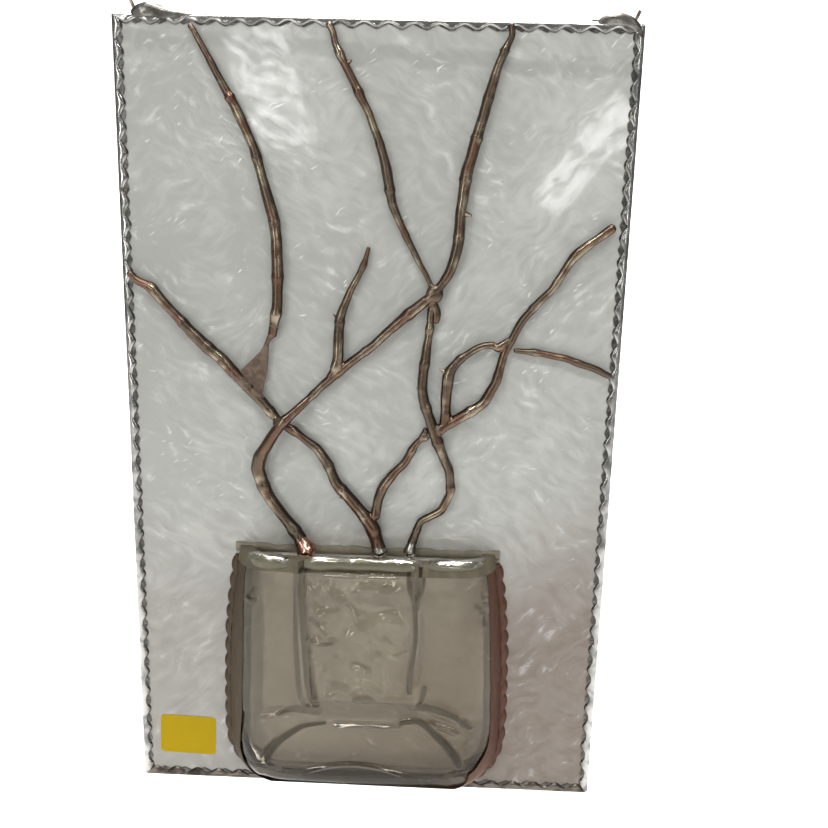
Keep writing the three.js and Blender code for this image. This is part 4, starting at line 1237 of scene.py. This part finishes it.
# The twigs that meet in each joint, and the one that each foot holds
JOINTS = {
    "crossing_solder": ("trunk", "left_twig"),
    "fork_solder": ("trunk", "centre_fork"),
    "heart_solder": ("left_twig", "right_twig", "upper_twig", "top_right_twig"),
    "shoot_solder": ("left_twig", "side_shoot"),
    "fork_tip_solder": ("centre_fork", "right_twig"),
    "branch_solder": ("right_twig", "right_branch"),
    "stub_solder": ("right_branch", "stub_twig"),
    "arc_solder": ("right_branch", "stub_twig"),
}
FEET = {
    "base_solder_left": ("left_twig",),
    "base_solder_centre": ("trunk",),
    "base_solder_right": ("right_twig",),
}


COLLAR = {"sides": 18, "rough": 0.05}  # the tubes that a joint or the web flows over


def ball(centre, half, columns=24, rows=14):
    """An egg-shaped body."""
    turn = np.linspace(0, 2 * math.pi, columns, endpoint=False)
    return loft([
        np.stack([
            centre[0] + half[0] * math.cos(up) * np.cos(turn),
            centre[1] + half[1] * math.cos(up) * np.sin(turn),
            np.full(columns, centre[2] + half[2] * math.sin(up)),
        ], axis=1)
        for up in np.linspace(-0.48, 0.48, rows) * math.pi
    ])


def twig_part(twig, centre, reach, look, swell):
    """The stretch of a twig within reach of a joint, led into the joint where the twig ends there."""
    line, radii = twig_line(twig, look)
    away = np.linalg.norm(line - centre, axis=1)
    near = np.where(away < max(reach, away.min() + 2.4))[0]
    part = slice(near[0], near[-1] + 1)
    line, away = line[part], away[part]
    radii = radii[part] * (0.95 + swell * np.clip(1 - away / reach, 0, 1))
    if near[0] == 0:
        line, radii = np.vstack([centre, line]), np.concatenate([[radii[0] * 1.1], radii])
    elif away[-1] < away[0] and away[-1] > 1.5:
        line, radii = np.vstack([line, centre]), np.concatenate([radii, [radii[-1] * 1.1]])
    return resampled(line, radii, TWIG_STEP)


def joint_body(node, twigs, look, reach, swell):
    """A joint: a lump of solder with a collar along each twig that meets in it."""
    low, high = node_box(node)
    centre, half = (low + high) / 2, (high - low) / 2
    bodies = [ball(centre, half * look.joint_share)]
    bodies += [tube(*twig_part(twig, centre, reach, look, swell), seed=5, **COLLAR) for twig in twigs]
    points, faces = melted(node + "_skin", bodies, MELT_STEP, 8)
    points += (lumps(points, 3.2, len(node)) * 0.12)[:, None] * np.sign(points - centre)
    return points, faces


# Where the top left twig thins out into the web: places (across, up) and its radii, in mm
WEB_TIP = (((-44.6, 200.5), (-43.0, 203.5), (-41.6, 206.5)), (0.6, 0.9, 1.25))


def web_body(look):
    """The foil web in the fork of the trunk and the top left twig."""
    low, high = node_box("twig_web")
    centre = (low + high) / 2
    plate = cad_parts["twig_web"].data
    bodies = [(to_panel([v.co for v in plate.vertices]), [tuple(f.vertices) for f in plate.polygons])]
    line, radii = twig_line("trunk", look)
    near = np.where(np.linalg.norm(line - centre, axis=1) < 15)[0]
    part = slice(near[0], near[-1] + 1)
    bodies.append(tube(line[part], radii[part] * 1.03, seed=5, **COLLAR))
    line, radii = twig_line("top_left_twig", look)
    if np.linalg.norm(line[0] - centre) > np.linalg.norm(line[-1] - centre):
        line, radii = line[::-1], radii[::-1]
    places, thick = WEB_TIP
    lead = np.vstack([[(x, centre[1], z) for x, z in places], line[:8]])
    bodies.append(tube(*resampled(lead, np.concatenate([thick, radii[:8]]), TWIG_STEP), seed=6, **COLLAR))
    points, faces = melted("web_skin", bodies, 0.4, 5)
    points[:, 1] += lumps(points, 3, 9) * 0.25
    return points, faces


class VASE_OT_joints(Operator):
    """Builds the joints between twigs and the solder feet on the mouth's strip"""

    bl_idname = "bud_vase.joints"
    bl_label = "Twig joints"

    def execute(self, context):
        look = chosen_look(context)
        brown = twig_copper(look)
        silver = bright_solder("foot_solder", share=0.5, spacing=2.6)
        copper = bright_solder("foot_copper", share=0.46, spacing=2.2)
        for node, twigs in JOINTS.items():
            body = joint_body(node, twigs, look, reach=7.0, swell=0.12)
            piece(node.replace("_solder", "_joint"), body, brown, [node], FLOWED)
        for node, twigs in FEET.items():
            metal = copper if node == "base_solder_left" else silver
            body = joint_body(node, twigs, look, reach=5.5, swell=0.2)
            piece(node.replace("_solder", "_foot"), body, metal, [node], FLOWED)
        piece("fork_web", web_body(look), web_copper(), ["twig_web"], FLOWED)
        return {"FINISHED"}


# Hangers

# Each mound's ridge: places along the panel's top edge (across, up) and half heights in mm
MOUNDS = {
    "left": (
        ((-93.4, 330.4), (-91.2, 331.6), (-86.6, 332.1), (-82.4, 330.6), (-78.4, 330.2), (-72.0, 329.9),
         (-65.8, 329.9)),
        (1.3, 2.5, 2.5, 1.9, 1.5, 0.9, 0.5),
    ),
    "right": (
        ((84.6, 330.8), (87.4, 331.8), (93.6, 332.1), (97.0, 330.9), (99.8, 328.6), (100.9, 325.4)),
        (0.8, 2.0, 2.2, 1.9, 1.5, 0.9),
    ),
}


def hanger_body(side, look):
    """The solder mound that fixes a hanging loop to the panel's top edge."""
    places, highs = MOUNDS[side]
    line, radii = resampled([(x, -0.2, z) for x, z in places], highs, 0.7)
    low = line - np.array((0, 0, 0.9))
    seed = 80 if side == "left" else 90
    bodies = [
        tube(line, radii, sides=20, rough=0.12, seed=seed, squash=0.95),
        tube(low, radii * 0.9, sides=20, rough=0.12, seed=seed + 2, squash=0.9),
    ]
    points, faces = melted("mound", bodies, MELT_STEP, 5)
    points[:, 1] -= lumps(points, 4, seed) * 0.35
    return points, faces


class VASE_OT_hangers(Operator):
    """Builds the solder mounds that fix the hanging loops, and gives the loops their wire finish"""

    bl_idname = "bud_vase.hangers"
    bl_label = "Hangers"

    def execute(self, context):
        look = chosen_look(context)
        solder = bright_solder("hanger_solder", share=0.5, spacing=6, roughness=(0.38, 0.24))
        wire = dark_foil("hanger_wire")
        for side in MOUNDS:
            body = hanger_body(side, look)
            piece(f"hanger_mound_{side}", body, solder, [f"hanger_solder_{side}"], FLOWED)
            dress(f"hanger_loop_{side}", wire)
        return {"FINISHED"}


# Sticker


class VASE_OT_sticker(Operator):
    """Gives the price sticker its paper"""

    bl_idname = "bud_vase.sticker"
    bl_label = "Sticker"

    def execute(self, context):
        dress("price_sticker", sticker_paper(chosen_look(context)))
        return {"FINISHED"}


# Stage

FLOOR_LEVEL = -0.37  # in metres, as all of the stage
SWEEP_ROUND = 0.5  # radius of the bend between floor and wall
WORLD_GREY = (0.81, 0.805, 0.79, 1)
WORLD_LIGHT = 0.3
SENSOR = 36  # the camera sensor's width, in mm
# Each lamp's place, its aim, its width and height, its power in watts, and its spread and lean in degrees
LAMPS = (
    ("top_tube", (-0.05, -0.5, 0.58), (0, 0, -0.14), (0.8, 0.06), 4.6, 180, 0),
    ("left_softbox", (-0.5, -0.75, 0.05), (0, 0, -0.17), (0.1, 0.8), 1.6, 180, 0),
    ("right_softbox", (0.5, -0.8, 0.1), (0, 0, -0.17), (0.05, 0.8), 0.7, 180, 0),
    ("left_ceiling_lamp", (-0.149, -0.610, 0.011), (-0.039, 0, -0.0286), (0.062, 0.112), 0.13, 180, 15),
    ("right_ceiling_lamp", (0.162, -0.610, -0.042), (0.083, 0, -0.0496), (0.034, 0.125), 0.09, 180, -37),
    ("wall_light", (0.0, 0.4, 1.3), (0, 1.3, -0.1), (1.2, 1.2), 24, 110, 0),
    ("floor_light", (0.0, 0.45, 1.5), (0, 0.75, -0.37), (1.2, 1.0), 16, 90, 0),
)


def sweep_body():
    """A pale floor that curves up into a wall."""
    rows = [(-1.5, FLOOR_LEVEL)]
    for turn in np.radians(np.linspace(0, 90, 13)):
        rows.append((0.9 + SWEEP_ROUND * math.sin(turn), FLOOR_LEVEL + SWEEP_ROUND * (1 - math.cos(turn))))
    rows.append((0.9 + SWEEP_ROUND, 2.2))
    points = [(x, y, z) for y, z in rows for x in (-2.5, 2.5)]
    return points, [(2 * k, 2 * k + 1, 2 * k + 3, 2 * k + 2) for k in range(len(rows) - 1)]


class VASE_OT_stage(Operator):
    """Sets the floor, the light and the camera"""

    bl_idname = "bud_vase.stage"
    bl_label = "Stage"

    def execute(self, context):
        look = chosen_look(context)
        scene = context.scene
        sweep = new_object("sweep", *sweep_body())
        sweep.data.shade_smooth()
        sweep.data.materials.append(pale_paper())

        world = bpy.data.worlds.new("studio")
        world.use_nodes = True
        shade = world.node_tree.nodes["Background"]
        shade.inputs["Color"].default_value = WORLD_GREY
        shade.inputs["Strength"].default_value = WORLD_LIGHT
        scene.world = world

        for name, spot, target, size, power, spread, lean in LAMPS:
            lamp = bpy.data.lights.new(name, "AREA")
            lamp.shape = "RECTANGLE"
            lamp.size, lamp.size_y = size
            lamp.energy, lamp.spread = power, math.radians(spread)
            obj = bpy.data.objects.new(name, lamp)
            obj.location = spot
            aim = (Vector(target) - Vector(spot)).to_track_quat("-Z", "Y").to_matrix()
            obj.rotation_euler = (aim @ Matrix.Rotation(math.radians(lean), 3, "Z")).to_euler()
            scene.collection.objects.link(obj)

        camera = bpy.data.cameras.new("photo_view")
        camera.sensor_width, camera.lens, camera.clip_start = SENSOR, look.camera_lens, 0.01
        viewer = bpy.data.objects.new("photo_view", camera)
        tilt, pan, roll = look.camera_tilt, look.camera_pan, look.camera_roll
        ahead = Vector((math.sin(pan) * math.cos(tilt), math.cos(pan) * math.cos(tilt), math.sin(tilt)))
        right = Vector((math.cos(pan), -math.sin(pan), 0))
        up = right.cross(ahead)
        right, up = (
            right * math.cos(roll) + up * math.sin(roll),
            up * math.cos(roll) - right * math.sin(roll),
        )
        turn = Matrix((right, up, -ahead)).transposed()
        viewer.matrix_world = Matrix.Translation(look.camera_place) @ turn.to_4x4()
        scene.collection.objects.link(viewer)
        scene.camera = viewer
        scene.view_settings.view_transform = "Standard"
        return {"FINISHED"}


# What a user would change

Length = partial(FloatProperty, subtype="DISTANCE", unit="LENGTH", min=0.01 * MM)
Angle = partial(FloatProperty, subtype="ANGLE", unit="ROTATION")
Share = partial(FloatProperty, subtype="FACTOR", min=0.1, max=2.0)
Colour = partial(FloatVectorProperty, subtype="COLOR", min=0.0, max=1.0)


class BudVaseLook(PropertyGroup):
    """Sizes and colours of the vase that a user would change"""

    panel_step: Length(name="Panel step", description="Spacing of the panel's mesh", default=1.4 * MM)
    face_ripple: Length(
        name="Face ripple", description="Depth of the swells in the panel's face", default=0.06 * MM,
    )
    back_ripple: Length(
        name="Back ripple", description="Depth of the ripples in the panel's back", default=0.5 * MM,
    )
    panel_tint: Colour(name="Panel tint", description="The panel's clear places", default=(0.5, 0.505, 0.468))
    panel_shade: Colour(
        name="Panel shade", description="The panel's cloudy places", default=(0.4, 0.402, 0.373),
    )
    # Colour of the painted shade over the panel's lower right
    panel_painted_shade: Colour(
        name="Panel smoke", description="The panel's lower right", default=(0.2, 0.158, 0.122),
    )

    scallop_pitch: Length(
        name="Scallop pitch", description="Spacing of the edge foil's waves", default=9.5 * MM,
    )
    scallop: Length(name="Scallop", description="Depth of the edge foil's waves", default=2.0 * MM)
    lip: Length(name="Lip", description="Narrowest width of the edge foil", default=1.8 * MM)
    bead_height: Length(name="Bead height", description="Height of the edge solder", default=0.9 * MM)
    broad_lumps: Length(name="Broad lumps", description="Height of the edge's broad lumps", default=0.16 * MM)
    fine_lumps: Length(name="Fine lumps", description="Height of the edge's fine lumps", default=0.04 * MM)
    solder_dark: Colour(name="Dark solder", description="Tarnished edge solder", default=(0.2, 0.198, 0.188))
    solder_bright: Colour(name="Bright solder", description="Clean edge solder", default=(0.5, 0.49, 0.465))
    solder_crest: Colour(
        name="Crest solder", description="Olive crests of the edge", default=(0.14, 0.138, 0.12),
    )

    bottle_centre: Length(
        name="Bottle centre", description="The bottle's place across the panel", default=-0.3 * MM, min=-0.1,
    )
    bottle_half: Length(name="Bottle half width", description="Half of the bottle's width", default=60.5 * MM)
    bottle_depth: Length(name="Bottle depth", description="How far the bottle stands out", default=19 * MM)
    bottle_mouth: Length(name="Bottle mouth", description="Level of the bottle's mouth", default=114 * MM)
    bottle_foot: Length(name="Bottle foot", description="Level of the bottle's foot", default=4.4 * MM)
    bottle_wall: Length(name="Bottle wall", description="Thickness of the bottle's glass", default=3.4 * MM)
    bottle_base: Length(name="Bottle base", description="Thickness of the bottle's base", default=6 * MM)
    shoulder_from: Length(
        name="Shoulder", description="Level where the sides start to draw in", default=25 * MM,
    )
    corner_rise: Length(name="Corner rise", description="Height of the lower corners", default=24 * MM)
    corner_run: Length(name="Corner run", description="Width of the lower corners", default=19.5 * MM)
    heel_rise: Length(name="Heel rise", description="Height of the rounded heel", default=14 * MM)
    heel_run: Length(name="Heel run", description="Depth of the rounded heel", default=9 * MM)
    side_round: Length(name="Side rounding", description="Rounding of the front's sides", default=16 * MM)
    bottle_rows: IntProperty(name="Bottle rows", description="Rows of the bottle's mesh", default=208, min=8)
    bottle_columns: IntProperty(name="Bottle columns", description="Columns of its mesh", default=184, min=8)
    bottle_tint: Colour(name="Bottle tint", description="The bottle's glass", default=(0.8, 0.745, 0.65))
    # Paler glass between the ribs, partly painted highlights
    field_tint: Colour(
        name="Field tint", description="Paler glass between the ribs", default=(0.97, 0.935, 0.82),
    )
    # Colour of the painted shade along the moulded lines
    painted_bend_shade: Colour(
        name="Line tint", description="Where the moulding bends light", default=(0.05, 0.038, 0.02),
    )

    strip_pitch: Length(name="Strip pitch", description="Spacing of the strips' waves", default=7.8 * MM)
    strip_left: Colour(
        name="Left strip", description="Foil left of the bottle", default=(0.063, 0.046, 0.031),
    )
    strip_right: Colour(
        name="Right strip", description="Foil right of the bottle", default=(0.11, 0.049, 0.035),
    )
    strip_top: Colour(name="Top strip", description="Foil behind the mouth", default=(0.25, 0.225, 0.17))

    joint_share: Share(
        name="Joint share", description="Size of a joint's lump against its solid", default=0.72,
    )
    twig_share: Share(name="Twig share", description="Thickness of a twig against its sleeve", default=1.02)
    twig_brown: Colour(
        name="Twig brown", description="Dulled copper of the twigs", default=(0.12, 0.09, 0.063),
    )
    twig_red: Colour(
        name="Twig red", description="Reddish stretches of the twigs", default=(0.142, 0.083, 0.057),
    )
    twig_tin: Colour(name="Twig tin", description="Tinned places of the twigs", default=(0.34, 0.285, 0.2))
    sticker_yellow: Colour(
        name="Sticker yellow", description="The sticker's paper", default=(0.38, 0.26, 0.004),
    )

    camera_place: FloatVectorProperty(
        name="Camera place", description="Where the camera stands", subtype="TRANSLATION", unit="LENGTH",
        default=(0.0303, -0.4072, -0.0551),
    )
    camera_lens: FloatProperty(
        name="Camera lens", description="Focal length in mm", unit="CAMERA", default=43.478,
    )
    camera_tilt: Angle(name="Camera tilt", description="How far it looks up", default=math.radians(-14.0))
    camera_pan: Angle(
        name="Camera pan", description="How far it looks right", default=math.radians(-1.7),
    )
    camera_roll: Angle(name="Camera roll", description="How far it leans left", default=math.radians(1.5))


def chosen_look(context):
    """The user's sizes and colours, with each length in millimetres."""
    look = context.scene.bud_vase
    values = {}
    for name, kind in look.bl_rna.properties.items():
        value = getattr(look, name)
        values[name] = round(value / MM, 4) if kind.subtype == "DISTANCE" else value
    return SimpleNamespace(**values)


STEPS = (
    VASE_OT_stage, VASE_OT_panel, VASE_OT_edges, VASE_OT_bottle, VASE_OT_strips, VASE_OT_rim,
    VASE_OT_twigs, VASE_OT_joints, VASE_OT_hangers, VASE_OT_sticker,
)


class VASE_PT_steps(Panel):
    """Lists the vase's building steps, its sizes and its colours"""

    bl_label = "Bud Vase"
    bl_space_type = "VIEW_3D"
    bl_region_type = "UI"
    bl_category = "Bud Vase"

    def draw(self, context):
        for step in STEPS:
            self.layout.operator(step.bl_idname)
        for name in BudVaseLook.__annotations__:
            self.layout.prop(context.scene.bud_vase, name)


CLASSES = (BudVaseLook, *STEPS, VASE_PT_steps)


def register():
    """Makes the steps, the panel and the vase's settings known to Blender."""
    for cls in CLASSES:
        bpy.utils.register_class(cls)
    bpy.types.Scene.bud_vase = PointerProperty(type=BudVaseLook)


def unregister():
    """Takes them away again."""
    del bpy.types.Scene.bud_vase
    for cls in reversed(CLASSES):
        bpy.utils.unregister_class(cls)


def main():
    register()
    for step in STEPS:
        group, action = step.bl_idname.split(".")
        getattr(getattr(bpy.ops, group), action)()


if __name__ == "__main__":
    main()
